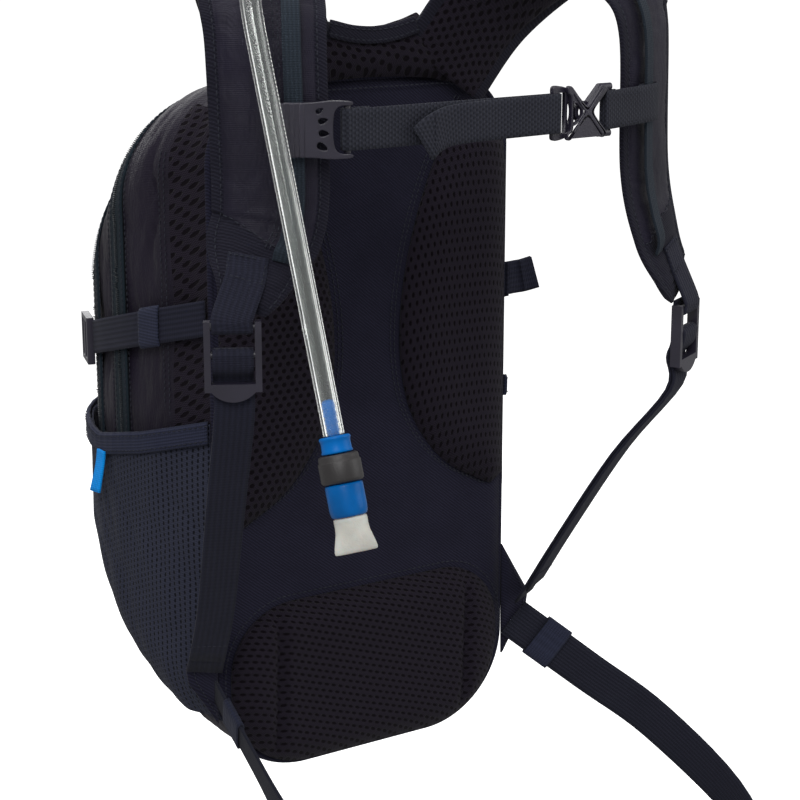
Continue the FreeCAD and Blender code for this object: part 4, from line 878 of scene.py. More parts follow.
# ---- shoulder straps ----------------------------------------------------------------------------
# Curved foam straps from the back seam over the shoulders to a narrow tip: crinkled nylon outside,
# mesh against the body, and a folded tape binding round the edge with one row of stitches.
def strap_stations(side):
    """Middle, width direction, width and thickness down to the tip, for the right side."""
    left = side == "left"
    turn = Vector((0.882, 0.471, 0.0))
    top = Vector((119.0 if left else 112.0, -91.0, 372.0))
    lower = top + turn * (-1.0 if left else 6.0)
    lower.z = 300.0
    drop = 0.0 if left else 22.0
    return [((47, 5.2, 346), (0.69, 0, -0.72), 62, 7), ((72, -6, 383), (0.76, 0.1, -0.55), 66, 12),
            ((92, -33, 402), (0.88, 0.1, -0.3), 64, 12), ((107, -62, 405), (0.95, 0.2, -0.1), 62, 12),
            ((top.x - 3, -83, 393), (0.92, 0.36, 0), 61, 12), (tuple(top), tuple(turn), 58, 12),
            (tuple(lower), tuple(turn), 57, 12), ((lower.x + 7, -92, 278 - 0.75 * drop), tuple(turn), 52, 11),
            ((132, -96, 262 - drop), tuple(turn), 38, 9), ((138, -97, 250 - drop), tuple(turn), 24, 7)]


def flipped(points, side):
    """Right-side points, mirrored for the left."""
    return [Vector((-p[0], p[1], p[2])) for p in points] if side == "left" else [Vector(p) for p in points]


STRAP_STEPS = 14
# The right strap lies flatter, so it is wider: station, and the share its outer half gains.
RIGHT_SPREAD = [(0, 0.0), (3.5, 0.0), (5, 0.26), (7, 0.28), (8, 0.5), (9, 0.3)]
BOUND = 0.79  # the binding covers the rest of the half width
strap_nylon = nylon_finish("strap_nylon", (0.0080, 0.0064, 0.0165), "strap_foam")
bound_tape = twill_finish("strap_binding", (0.0085, 0.0080, 0.0150), (0.0170, 0.0165, 0.0285), "strap_foam")
inner_mesh = mesh_finish("strap_mesh", 4.6, 4.0, (1.35, 1.25), warp=3.0)


class Strap:
    """A strap's middle line with its own directions, for everything that is sewn on it."""

    def __init__(self, side):
        stations = strap_stations(side)
        self.side = side
        self.middles = curve_through(flipped([s[0] for s in stations], side), STRAP_STEPS)
        self.hints = curve_through(flipped([s[1] for s in stations], side), STRAP_STEPS)
        self.sizes = curve_through([Vector((s[2], s[3], 0)) for s in stations], STRAP_STEPS)
        self.along = [0.0]
        for a, b in zip(self.middles, self.middles[1:]):
            self.along.append(self.along[-1] + (b - a).length)

    def axes(self, i):
        tangent = heading(self.middles, i)
        across = (self.hints[i] - tangent * self.hints[i].dot(tangent)).normalized()
        out = across.cross(tangent) * (1 if self.side == "left" else -1)
        return across, out

    def rise(self, i, u, outer):
        """Height off the middle at a share u of the half width."""
        thick = self.sizes[i].y / 2
        ends = min(1.0, (len(self.middles) - 1 - i) / 10.0 + 0.35)
        if abs(u) > BOUND:
            edge = (abs(u) - BOUND) / (1 - BOUND)
            return (1.9 - 0.9 * edge ** 4) * ends
        swell = (1.0 - (abs(u) / BOUND) ** 5 * 0.45) * thick * (0.98 if outer else 0.9)
        fold = noise.noise(Vector((u * 1.3, self.along[i] * 0.06, 11.0 if self.side == "left" else 3.0)))
        ripple = 1 - abs(noise.noise(Vector((u * 0.8, self.along[i] * 0.16, 7.0)))) * 2.2
        slack = (0.5 + 0.7 * fold + 0.9 * max(0.0, ripple) ** 3) * (1.0 if outer else 0.4)
        return max(1.6, swell - slack) * ends

    def place(self, i, u, lift=0.0, outer=True):
        across, out = self.axes(i)
        height = (self.rise(i, u, outer) + lift) * (1 if outer else -1)
        spread = along_line(RIGHT_SPREAD, i / STRAP_STEPS) if self.side == "right" and u > 0 else 0.0
        return self.middles[i] + across * (u * (1 + spread) * self.sizes[i].x / 2) + out * height

    def index(self, share):
        return min(len(self.middles) - 1, int(share * STRAP_STEPS))


HALF_ACROSS = [0.0, 0.15, 0.3, 0.45, 0.6, 0.7, 0.77, 0.795, 0.84, 0.9, 0.97, 1.0]
ACROSS = [-u for u in reversed(HALF_ACROSS[1:])] + HALF_ACROSS
AROUND = ACROSS + ACROSS[::-1]
TIP_FROM, TIP_SLANT = 6.75, 0.3  # the tip is bound tape, cut at a slant
straps = {}
for side in ("left", "right"):
    strap = straps[side] = Strap(side)
    verts = [strap.place(i, u, outer=j < len(ACROSS)) for i in range(len(strap.middles)) for j, u in enumerate(AROUND)]
    chosen = []
    for i in range(len(strap.middles) - 1):
        for j, u in enumerate(AROUND):
            outer = j < len(ACROSS)
            bound = abs(u + AROUND[(j + 1) % len(AROUND)]) / 2 > BOUND
            tip = outer and i > strap.index(TIP_FROM - TIP_SLANT * u)
            chosen.append(1 if bound or tip else 0 if outer else 2)
    cover = outward(build("padded_strap_" + side, verts, ring_faces(len(strap.middles), len(AROUND)),
                          [strap_nylon, bound_tape, inner_mesh], "pack", chosen=chosen + [1, 1]))
    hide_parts("shoulder_strap_" + side)
    span = range(2, len(strap.middles) - 6)
    lines = [[strap.place(i, u, 0.15) for i in span] for u in (-0.84, 0.84)]
    lines += [[strap.place(i, u, 0.1) for i in span if i < strap.index(7)] for u in (-0.2, -0.12)]
    slant = [-0.76 + 1.52 * k / 30 for k in range(31)]
    lines.append([strap.place(strap.index(TIP_FROM + 0.07 - TIP_SLANT * u), u, 0.3) for u in slant])
    beaded("strap_stitches_" + side, lines, "pack")

# The webbing rail down each strap, which the sternum strap slides on: narrow and tightly woven,
# tacked to the strap at both ends and standing off it between them.
RAIL_FROM, RAIL_TO, RAIL_LIFT, RAIL_INWARD, RAIL_WIDTH = 3, 7, 8.75, 12.0, 9.0
webbing = elastic_finish("ribbed_webbing", "webbing", (0.0078, 0.0082, 0.0160), pitch=2.86)
rail_webbing = elastic_finish("rail_webbing", "webbing", (0.0110, 0.0155, 0.0225), pitch=2.0)
for side, strap in straps.items():
    stations, ends = [], []
    for i in range(strap.index(RAIL_FROM), strap.index(RAIL_TO) + 1, 7):
        across, out = strap.axes(i)
        stations.append((strap.middles[i] - across * RAIL_INWARD + out * RAIL_LIFT, across, RAIL_WIDTH))
    for i in (strap.index(RAIL_FROM) - 5, strap.index(RAIL_TO) + 4):
        at = strap.place(i, -RAIL_INWARD * 2 / strap.sizes[i].x, 0.9)
        ends.append((at, strap.axes(i)[0], RAIL_WIDTH))
    rail = tape_mesh("rail_" + side, ends[:1] + stations + ends[1:], 1.4, rail_webbing, "pack", steps=6)
    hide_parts("strap_rail_" + side)


# ---- mesh yoke ----------------------------------------------------------------------------------
# The collar between the strap roots: stretched spacer mesh over thin foam, sewn into the top seam,
# with a wide bound edge at the neck.
yoke_mesh = mesh_finish("stretched_mesh", 6.2, 4.6, (1.9, 1.35), lean=0.2, warp=5.0)
YOKE_EDGE = [(-79, 333), (-62, 339), (-42, 343.5), (-20, 345.4), (0, 346), (20, 345.4), (42, 343.5), (62, 339),
             (79, 333), (66, 347), (49, 364), (33, 380), (24, 376.8), (12, 374.0), (0, 373), (-12, 374.0),
             (-24, 376.8), (-33, 380), (-49, 364), (-66, 347)]
yoke = padded_sheet("mesh_yoke", [Vector(p) for p in YOKE_EDGE], 10.0,
                    lambda x, z, d: 2.0 + 6.6 * (1 - (1 - min(1.0, d / 14.0)) ** 2)
                    + 0.8 * noise.noise(Vector((x * 0.05, z * 0.05, 1))), 3.6, [yoke_mesh])
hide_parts("yoke_pad")
NECK = [(-28, 378.0), (-14, 374.6), (0, 373.4), (14, 374.6), (28, 378.0)]
neck = curve_through([Vector((x, z, 0)) for x, z in NECK], 6)
tape_mesh("neck_binding", [((p.x, 1.6, p.y - 4.0), (0, 0.12, 1), 9.5) for p in neck], 1.8, bound_tape, "pack",
          steps=2, crown=0.4)
beaded("neck_stitches", [[(p.x, 0.25, p.y - 4.0 + off) for p in neck] for off in (-2.8, 2.8)], "pack")


# ---- ladder locks and their webbing -------------------------------------------------------------
# Each strap's tip carries a doubled 20 mm webbing round the lock's top bar. The adjuster comes up
# from the wing, over the middle bar, and hangs down again as the hemmed tail.
class Lock:
    """A ladder lock's place, and points of its own turned frame."""

    def __init__(self, side):
        self.sign = -1 if side == "left" else 1
        self.middle = Vector((144.0 * self.sign, -98.0, 225.0 if side == "left" else 202.0))
        self.width = Vector((0.882 * self.sign, 0.471, 0.0))
        self.back = Vector((-0.471 * self.sign, 0.882, 0.0))

    def at(self, back, up, across=0.0):
        return self.middle + self.back * back + Vector((0, 0, up)) + self.width * across


WEB, WRAP = 20.0, 3.05
locks = {"left": Lock("left"), "right": Lock("right")}
ADJUSTER = {"left": [(111, 5.4, 21), (120, -28, 72), (133, -66, 140)],
            "right": [(111, 5.4, 22), (115, -28, 72), (126, -64, 130)]}


def wrap(radius, start, end):
    """Points round a bar, from one angle to another."""
    return [tuple(p) for p in arc(0.0, 0.0, radius, start, end, 6)]


for side, lock in locks.items():
    strap = straps[side]
    sewn_on = []
    for share, across, out in ((7.32, 4.0, 0.7), (7.6, 3.8, 0.75), (8, 3.2, 0.9)):
        i = strap.index(share)
        sewn_on.append((strap.place(i, across * 2 / strap.sizes[i].x, out), strap.axes(i)[0], WEB))
    loop = [(-WRAP, 22.0)] + [(y, z + 17.0) for y, z in wrap(WRAP, 180, 360)] + [(WRAP, 22.0)]
    path = sewn_on + [(lock.at(y, z), lock.width, WEB) for y, z in loop]
    tip = tape_mesh("tip_webbing_" + side + "_cover", path, 1.4, webbing, "pack", steps=4)
    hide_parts("tip_webbing_" + side)
    box_from, box_to = strap.index(7.36), strap.index(8.0)
    box_lines = []
    for u_mm in (-5.0, 13.0):
        box_lines.append([strap.place(i, u_mm * 2 / strap.sizes[i].x, 1.75) for i in range(box_from, box_to)])
    for i in (box_from, box_to):
        box_lines.append([strap.place(i, (-5.0 + 18.0 * k / 6) * 2 / strap.sizes[i].x, 1.75) for k in range(7)])
    beaded("tip_box_stitches_" + side, box_lines, "pack", bead=fine_stitch(1.2), pitch=3.0)

    route = [(p, lock.width, WEB) for p in flipped(ADJUSTER[side], side)]
    over = [(6.4, -30), (6.4, -11), (4.4, -4)] + [(y, z + 3.0) for y, z in wrap(WRAP, 0, 180)]
    over += [(-1.5, -4), (4.0, -11.5), (4.2, -30)]
    stations = route + [(lock.at(y, z), lock.width, WEB) for y, z in over]
    out = lock.back * -2.3
    stations += [(p + out, lock.width, WEB) for p, _, _ in reversed(route[1:])]
    end = route[0][0] + (route[1][0] - route[0][0]) * 0.2 + out
    stations.append((end, lock.width, WEB))
    adjuster = tape_mesh("adjuster_" + side, stations, 1.4, webbing, None, steps=5)
    tuple(lock.at(0, -75) * 0.001)
    tuple(lock.at(0, -22) * 0.001)
    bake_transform(adjuster)
    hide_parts("adjuster_webbing_" + side)
    hem = end + (route[1][0] - route[0][0]).normalized() * 14 - lock.back * 0.95
    beaded("adjuster_hem_" + side, [[hem + lock.width * (-8.5 + k * 1.7) for k in range(11)]], "pack",
           bead=fine_stitch(1.2), pitch=2.6)


# ---- moulded buckles and sliders ----------------------------------------------------------------
# Acetal mouldings, satin and nearly black, with rounded edges and a fine mould texture: ladder
# locks, sternum slider, hook and anchor, belt and compression buckles, zip sliders and pulls.
def moulded_finish(name, slot, base, rough, grain=0.25, **constants):
    finish = Finish(name, slot, **constants)
    texture = finish.speckle(finish.point(*finish.millimetres()), 1.1, 2.0)
    flow = finish.mottle(0.06)
    color = finish.blend(flow.step(0.3, 0.7), base, shade(base, 1.35))
    return finish.paint(color, rough + flow * 0.12, texture, grain)


acetal = moulded_finish("satin_acetal", "plastic", (0.0150, 0.0130, 0.0240), 0.30, 0.10, Specular_IOR_Level=0.6)
slider_metal = moulded_finish("black_slider_metal", "zip_metal", (0.008, 0.008, 0.010), 0.30, 0.05)


def eased(name, node, finish, body, radius):
    """The CAD piece again, its flat faces merged and its edges rounded."""
    shape = bmesh.new()
    shape.from_mesh(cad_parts[node].data)
    bmesh.ops.remove_doubles(shape, verts=shape.verts, dist=2e-6)
    bmesh.ops.dissolve_limit(shape, angle_limit=math.radians(4), verts=shape.verts, edges=shape.edges)
    mesh = bpy.data.meshes.new(name)
    shape.to_mesh(mesh)
    shape.free()
    mesh.materials.clear()
    mesh.materials.append(finish.material)
    mesh.polygons.foreach_set("use_smooth", [True] * len(mesh.polygons))
    plain = bpy.data.objects.new(name + "_plain", mesh)
    scene.collection.objects.link(plain)
    bevel = plain.modifiers.new("edges", "BEVEL")
    bevel.width, bevel.segments, bevel.limit_method = radius * 0.001, 2, "ANGLE"
    bevel.angle_limit, bevel.harden_normals = math.radians(38), False
    bevel.use_clamp_overlap = True
    plain.modifiers.new("flat_faces", "WEIGHTED_NORMAL").keep_sharp = True
    obj = placed(name, evaluated(plain), body)
    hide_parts(node)
    return obj


for node, body, finish, radius in (
    ("ladder_lock_left", "lock_left", acetal, 0.7), ("ladder_lock_right", "lock_right", acetal, 0.7),
    ("sternum_anchor", "sternum_right", acetal, 0.4), ("belt_buckle_female", "pack", acetal, 0.8),
    ("belt_buckle_male", "belt_male", acetal, 0.6),
    ("compression_buckle_left", "compression_lock_left", acetal, 0.6),
    ("compression_buckle_right", "compression_lock_right", acetal, 0.6),
    ("main_zip_slider", "main_zip_slider", slider_metal, 0.4),
    ("front_zip_slider", "front_zip_slider", slider_metal, 0.4),
    ("main_zip_pull", "main_zip_pull", acetal, 0.3), ("front_zip_pull", "front_zip_pull", acetal, 0.3),
):
    eased(node + "_cover", node, finish, body, radius)


# ---- sternum slider and hook --------------------------------------------------------------------
# The slider clips round the left rail: a ribbed channel, a plate with four drop-shaped holes and a
# bar for the webbing. The hook is a webbing frame that narrows to an X over the anchor's eye.
def smooth_loop(points, steps=5):
    """A closed smooth outline through (x, y) points."""
    points = [Vector((x, y, 0)) for x, y in points]
    count = len(points)
    return [on_curve(*(points[(i + n - 1) % count] for n in range(4)), k / steps)
            for i in range(count) for k in range(steps)]


def mirrored(half):
    """A whole outline from its upper half, the same below."""
    return half + [(x, -y) for x, y in reversed(half) if y]


def moulded_plate(name, outlines, thick, edge, right, up, middle, body, node=None):
    """A flat acetal moulding with holes and rounded edges; outlines are loops in its own (right, up)."""
    shape = bpy.data.curves.new(name, "CURVE")
    shape.dimensions, shape.fill_mode = "2D", "BOTH"
    shape.extrude, shape.bevel_depth, shape.bevel_resolution = (thick / 2 - edge) * 0.001, edge * 0.001, 2
    shape.offset = -edge * 0.001
    for loop in outlines:
        run = shape.splines.new("POLY")
        run.points.add(len(loop) - 1)
        run.points.foreach_set("co", [c for p in loop for c in (p[0] * 0.001, p[1] * 0.001, 0.0, 1.0)])
        run.use_cyclic_u = True
    flat = bpy.data.objects.new(name + "_flat", shape)
    scene.collection.objects.link(flat)
    made = evaluated(flat)
    right, up = Vector(right).normalized(), Vector(up).normalized()
    turned = Matrix((right, up, right.cross(up))).transposed().to_4x4()
    made.transform(Matrix.Translation(Vector(middle) * 0.001) @ turned)
    made.materials.clear()
    made.materials.append(acetal.material)
    obj = outward(placed(name, made, body))
    if node:
        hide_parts(node)
    return obj


UP = (0, 0, 1)
SLIDER_AT = Vector((-112.10, -107.69, 336.0))
SLIDER_RIGHT, SLIDER_OUT = Vector((0.882, -0.471, 0.0)), Vector((-0.471, -0.882, 0.0))
drop_holes = []
for at_u, at_v, tilt, size in ((10.6, 9.2, 0.5, 0.95), (12.2, 4.4, 0.25, 1.15), (12.6, -1.6, -0.05, 1.25),
                               (11.8, -8.0, -0.5, 1.4)):
    drop = []
    for turn in (2 * math.pi * k / 16 for k in range(16)):
        long, wide = 2.0 * math.cos(turn), 1.15 * math.sin(turn) * (1.0 - 0.42 * math.cos(turn))
        drop.append((at_u + size * (long * math.cos(tilt) - wide * math.sin(tilt)),
                     at_v + size * (long * math.sin(tilt) + wide * math.cos(tilt))))
    drop_holes.append(drop)
plate_edge = smooth_loop(mirrored(
    [(-8.3, 6), (-7.5, 12.6), (0, 12.9), (8, 13.2), (14, 13.8), (20, 13.9), (25.6, 13.4), (26.6, 12.2), (25.0, 11.4),
     (21.0, 11.3), (18.2, 9.0), (17.2, 3.5)]))
moulded_plate("slider_plate", [plate_edge] + drop_holes, 2.0, 0.45, SLIDER_RIGHT, UP, SLIDER_AT + SLIDER_OUT * 2.2,
              "sternum_left", "sternum_slider")
CHANNEL_HALF = 12.7
for label, low, high, out, thick in (
    ("channel_rib_outer", -8.2, -5.9, 3.0, 1.6), ("channel_rib_mid", -3.6, -1.4, 3.2, 1.3),
    ("channel_rib_inner", 1.0, 3.4, 3.3, 1.6), ("channel_wall_outer", -8.3, -6.3, -0.2, 5.2),
    ("channel_wall_inner", 6.2, 8.2, -0.2, 5.0), ("channel_back", -8.3, 8.2, -1.9, 1.4),
):
    block = [(low, -CHANNEL_HALF), (high, -CHANNEL_HALF), (high, CHANNEL_HALF), (low, CHANNEL_HALF)]
    moulded_plate(label, [block], thick, 0.4, SLIDER_RIGHT, UP, SLIDER_AT + SLIDER_OUT * out, "sternum_left")
BAR_R, BAR_FLAT = 1.75, 0.9
slider_bar = [(BAR_FLAT * BAR_R * math.cos(turn), BAR_R * math.sin(turn))
              for turn in (2 * math.pi * k / 20 for k in range(20))]
moulded_plate("slider_bar", [slider_bar], 26.4, 0.3, SLIDER_RIGHT, SLIDER_OUT, (-90.93, -119.0, 336.0), "sternum_left")

HOOK_Y, CLOSURE_Z = -119.0, 336.0
frame_edge = smooth_loop(mirrored(
    [(30.6, 0), (30.6, 8), (30.9, 13.4), (35.5, 13.7), (40.0, 12.2), (44.0, 8.8), (44.0, 0)]))
web_window = [(35.0, -10.3), (38.4, -10.3), (38.4, 10.3), (35.0, 10.3)]
grip_window = smooth_loop(mirrored([(40.0, 0), (40.4, 5.6), (42.2, 3.9), (42.8, 0)]), 4)
cross_edge = smooth_loop(mirrored(
    [(40.0, 0), (40.0, 4), (39.6, 8.6), (37.8, 10.4), (37.6, 13.2), (40.2, 13.5), (44.8, 8.4), (49.2, 4.0), (51.0, 3.6),
     (54.6, 7.6), (59.4, 13.2), (62.6, 12.6), (62.8, 10.2), (57.6, 4.4), (54.8, 0)]), 4)
drop_window = smooth_loop(mirrored([(41.0, 0), (41.2, 5.4), (43.6, 4.6), (46.6, 1.6), (46.9, 0)]), 4)
ridge = smooth_loop(mirrored(
    [(48.6, 0), (46.6, 2.6), (41.6, 8.8), (42.4, 9.6), (47.4, 3.2), (50.4, 1.4), (54.0, 5.2), (59.6, 11.6),
     (60.6, 10.6), (55.4, 4.2), (52.6, 0)]), 4)
for label, outlines, thick, edge, forward, node in (
    ("hook_frame", [frame_edge, web_window, grip_window], 3.2, 0.6, 0.0, "sternum_hook"),
    ("hook_cross", [cross_edge, drop_window], 3.0, 0.7, 3.6, None), ("hook_ridge", [ridge], 1.2, 0.4, 5.2, None),
):
    moulded_plate(label, outlines, thick, edge, (1, 0, 0), UP, (0, HOOK_Y - forward, CLOSURE_Z), "sternum_strap", node)


# ---- sternum strap ------------------------------------------------------------------------------
# Coarse basket-weave webbing from the left slider's bar to the hook and back as a hemmed tail, and a
# short webbing from the anchor folded round the right rail.
def basket_finish():
    finish = cloth_finish("basket_webbing", "webbing", 0.15)
    x, y, _ = finish.millimetres("UV")
    over = (x + y.whole(1.9).odd() * 1.25).wave(2.5)
    mottle = finish.mottle(0.05)
    thread = over * 0.5 + y.wave(1.9) * 0.5
    color = finish.blend(thread * 0.8 + mottle * 0.2, (0.0080, 0.0085, 0.0135), (0.0330, 0.0350, 0.0490))
    return finish.paint(color, 0.86 - mottle * 0.12, thread, 0.55)


basket = basket_finish()
STERNUM_Z, STERNUM_Y, BAR_WRAP = CLOSURE_Z, HOOK_Y, 2.65
HOOK_X, ANCHOR_X, SLIDER_BAR_X = 33.0, 66.0, -90.93


def round_bar(x, start, end):
    return [(x + px, STERNUM_Y + py) for px, py in wrap(BAR_WRAP, start, end)]


path = [(SLIDER_BAR_X + 14, STERNUM_Y + BAR_WRAP + 0.2)] + round_bar(SLIDER_BAR_X, 90, 270)
path += [(SLIDER_BAR_X + 20, STERNUM_Y - BAR_WRAP), (-30, STERNUM_Y - 1.0), (HOOK_X - 8, STERNUM_Y + 1.6)]
path += round_bar(HOOK_X, 90, -90)
path += [(HOOK_X - 10, STERNUM_Y - BAR_WRAP - 0.6), (-28, STERNUM_Y - 4.2), (-44, STERNUM_Y - 6.2),
         (-52, STERNUM_Y - 6.8)]
drops = [0.0] * (len(path) - 3) + [-1.0, -4.0, -9.0]
sternum = tape_mesh("sternum_webbing_cover",
                    [((x, y, STERNUM_Z + dz), (0.25 * dz / 9.0, 0, 1), WEB) for (x, y), dz in zip(path, drops)],
                    1.4, basket, "sternum_strap")
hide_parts("sternum_webbing")
beaded("sternum_hem", [[(-44.5 - 0.05 * k, STERNUM_Y - 7.3, STERNUM_Z - 13.0 + k * 2.0) for k in range(10)]],
       "sternum_strap", bead=fine_stitch(1.1), pitch=2.6)

# The right webbing's fold round the rail: its corners, from the rail's middle, across and outwards.
rail_middle, turn_w, turn_n = Vector((108.184, -102.958)), Vector((0.882, 0.471)), Vector((0.471, -0.882))
reach, gap = 4.5 + 2.4 + 0.75, 1.9
corners = [rail_middle - turn_w * (reach + 1.0) + turn_n * gap, rail_middle + turn_w * reach + turn_n * gap,
           rail_middle + turn_w * (reach + 1.1) + Vector((0.6, 1.2)),
           rail_middle + turn_w * reach - turn_n * (gap - 0.2),
           rail_middle - turn_w * (reach + 1.5) - turn_n * (gap - 0.2)]
path = [Vector((ANCHOR_X + 8, STERNUM_Y + BAR_WRAP))] + [Vector(p) for p in round_bar(ANCHOR_X, 90, 270)] + corners
right_web = tape_mesh("sternum_web_right_cover", [((p.x, p.y, STERNUM_Z), UP, WEB) for p in path], 1.2, basket,
                      "sternum_right", steps=4)
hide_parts("sternum_web_right")
box_at = [(ANCHOR_X + 9 + 18 * t, STERNUM_Y - BAR_WRAP + 9.0 * t * t - 1.2) for t in (0.0, 0.25, 0.5, 0.75, 1.0)]
box_lines = [[(x, y, STERNUM_Z + dz) for x, y in box_at] for dz in (-7.5, 7.5)]
beaded("sternum_box_stitches", box_lines, "sternum_right", bead=fine_stitch(1.1), pitch=2.8)


# ---- waist belt ---------------------------------------------------------------------------------
# 25 mm ribbed webbing sewn into a doubled twill wing on each side of the back seam. It passes
# through an elastic keeper and is threaded round the bar of the front buckle.
belt_webbing = elastic_finish("belt_webbing", "webbing", (0.0080, 0.0085, 0.0150), pitch=2.1)
BELT_WIDTH, BUCKLE, BUCKLE_BAR = 25.0, Vector((10.0, -222.0, -164.0)), 27.0
BELT = {  # the wing's end and the keeper, the width direction there, and the rest of the way to the buckle
    "left": ([(105, 3.8, 8), (103, -36, -20)], (0.25, 0.1, 1),
             [(101, -84, -52), (88, -140, -92), (62, -186, -132), (40, -210, -156)]),
    "right": ([(105, 8.2, 8), (148, -13, -30)], (0.35, -0.1, 1),
              [(182, -42, -62), (210, -90, -108), (196, -146, -142), (146, -194, -160), (84, -218, -164)])}
ROUND_BAR = [(8.0, 3.05), (1.35, 3.05), (0.35, 1.85), (0.35, -1.85), (1.35, -3.05), (20.0, -3.05)]
WING_EDGE = [(98.8, 56), (110, 37), (119, 22), (117.5, 12), (108, -2), (99.5, -16)]
WING_SEAM = [(101, 49), (115.6, 22), (114, 14), (101.5, -9)]
KEEPER_RINGS, KEEPER_SIDES, KEEPER_HALF = 9, 22, 9.0


def sleeve_faces(rings, sides):
    """A tube with a wall: each ring is its outer points, then its inner ones."""
    faces, step, last = [], 2 * sides, (rings - 1) * 2 * sides
    for a, b in ((j, (j + 1) % sides) for j in range(sides)):
        for at in range(0, last, step):
            faces += [(at + a, at + b, at + b + step, at + a + step),
                      (at + a + sides, at + a + step + sides, at + b + step + sides, at + b + sides)]
        faces += [(a, a + sides, b + sides, b), (last + a, last + b, last + b + sides, last + a + sides)]
    return faces


def softened(value, power):
    """A sine or cosine drawn out, so that an oval turns towards a rectangle."""
    return math.copysign(abs(value) ** power, value)


for side, (first, up, rest) in BELT.items():
    sign = -1 if side == "left" else 1
    up = Vector((up[0] * sign, up[1], up[2]))
    upright = [up.lerp(Vector(UP), t) for t in (0.5, 0.9, 1.0, 1.0, 1.0)]
    round_it = [(BUCKLE_BAR + BUCKLE.x * sign + a, BUCKLE.y + o, BUCKLE.z) for a, o in ROUND_BAR]
    stations = [(p, up, BELT_WIDTH) for p in flipped(first, side)]
    stations += [(p, h, BELT_WIDTH) for p, h in zip(flipped(rest, side), upright)]
    stations += [(p, UP, BELT_WIDTH) for p in flipped(round_it, side)]
    belt = tape_mesh("belt_" + side, stations, 1.5, belt_webbing, "pack" if side == "left" else None, steps=6)
    if side == "right":
        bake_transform(belt)
    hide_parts("belt_webbing_" + side)
    edge = [Vector((x * sign, z)) for x, z in WING_EDGE]
    wing = padded_sheet("twill_wing_" + side, edge[::sign], 13.5,
                        lambda x, z, d: 1.6 + 1.3 * min(1.0, d / 3.0), 3.0, [twill])
    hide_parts("wing_" + side)
    beaded("wing_stitches_" + side, [[Vector((x * sign, 10.4, z)) for x, z in WING_SEAM]], "pack",
           bead=fine_stitch(1.1), pitch=2.8)
    start, knee = flipped(first, side)
    along = (knee - start).normalized()
    middle = start + (knee - start) * 0.46
    across = (up - along * up.dot(along)).normalized()
    face = along.cross(across)
    verts, uv = [], []
    for k in range(KEEPER_RINGS):
        at = 2 * KEEPER_HALF * k / (KEEPER_RINGS - 1)
        for inner_wall in (False, True):
            for j in range(KEEPER_SIDES):
                turn = 2 * math.pi * j / KEEPER_SIDES
                wide, thick = (13.1, 1.25) if inner_wall else (14.2, 2.35 + 0.075 * math.sin(k * 2.4 + j))
                verts.append(middle + along * (at - KEEPER_HALF) + across * (softened(math.cos(turn), 0.35) * wide)
                             + face * (softened(math.sin(turn), 0.6) * thick))
                uv.append((at, j * 3.0))
    keeper = outward(build("belt_keeper_cover_" + side, verts, sleeve_faces(KEEPER_RINGS, KEEPER_SIDES),
                           [binding_elastic], "belt_keeper_" + side, uv=uv))
    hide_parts("belt_keeper_" + side)


# ---- compression straps -------------------------------------------------------------------------
# 20 mm ribbed webbing from the back seam round each gusset to a three-bar buckle in front; the left
# one carries a smooth elastic keeper, and the right one leaves a short hemmed tail.
COMPRESSION_Z, FALL, FRONT = 225.0, -0.27, 130.0


def strap_line(y):
    return COMPRESSION_Z + FALL * y


for side, left in (("left", True), ("right", False)):
    cover = side_surface("compression_" + side, left, lambda y: (strap_line(y) - 10.0, strap_line(y) + 10.0),
                         lambda y, z, t: 3.75 + 0.25 * math.sin(y * 0.12), 1.3, webbing, 40, 12, 14.6, FRONT,
                         bulge=0.0, centre=strap_line)
    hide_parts("compression_webbing_" + side)
keeper = side_surface("compression_keeper_cover", True, lambda y: (strap_line(y) - 11.7, strap_line(y) + 11.7),
                      lambda y, z, t: 5.0 - 1.6 * abs(2 * t - 1) ** 8 + 0.15 * math.sin(z * 1.1), 1.1, binding_elastic,
                      10, 14, 43.2, 58.8, bulge=0.0, centre=lambda y: 0.0)
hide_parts("compression_keeper")
tail_z = strap_line(14.0)
for name, width, thick, points in (
    ("compression_tail", WEB, 1.4, [(99.4, 15.6, 0), (108, 15.0, 0.6), (113, 14.2, 1), (119.5, 11.2, 3)]),
    ("compression_tail_hem", WEB - 0.6, 1.0, [(111.5, 12.9, 1), (115, 12.1, 1.7), (119.3, 10.0, 3)]),
):
    tape_mesh(name, [((x, y, tail_z + z), UP, width) for x, y, z in points], thick, webbing, "pack")


# ---- haul loop ----------------------------------------------------------------------------------
# The grab handle: doubled 20 mm webbing, arched over the top of the bag, with both its ends sewn
# into the top seam.
HAUL_Y = 29
loop_path = [(-42, 348.6), (-36, 353), (-22, 360), (0, 363), (22, 360), (36, 353), (42, 348.6)]
handle = tape_mesh("haul_handle", [((x, HAUL_Y, z), (0, 1, 0), WEB) for x, z in loop_path], 2.4, webbing, "pack",
                   steps=7)
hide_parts("haul_loop")
haul_seam = [(-20, 360.7), (-10, 362.6), (0, 363.1), (10, 362.6), (20, 360.7)]
beaded("haul_stitches", [[(x, HAUL_Y + off, z + 1.35) for x, z in haul_seam] for off in (-7.5, 7.5)], "pack")


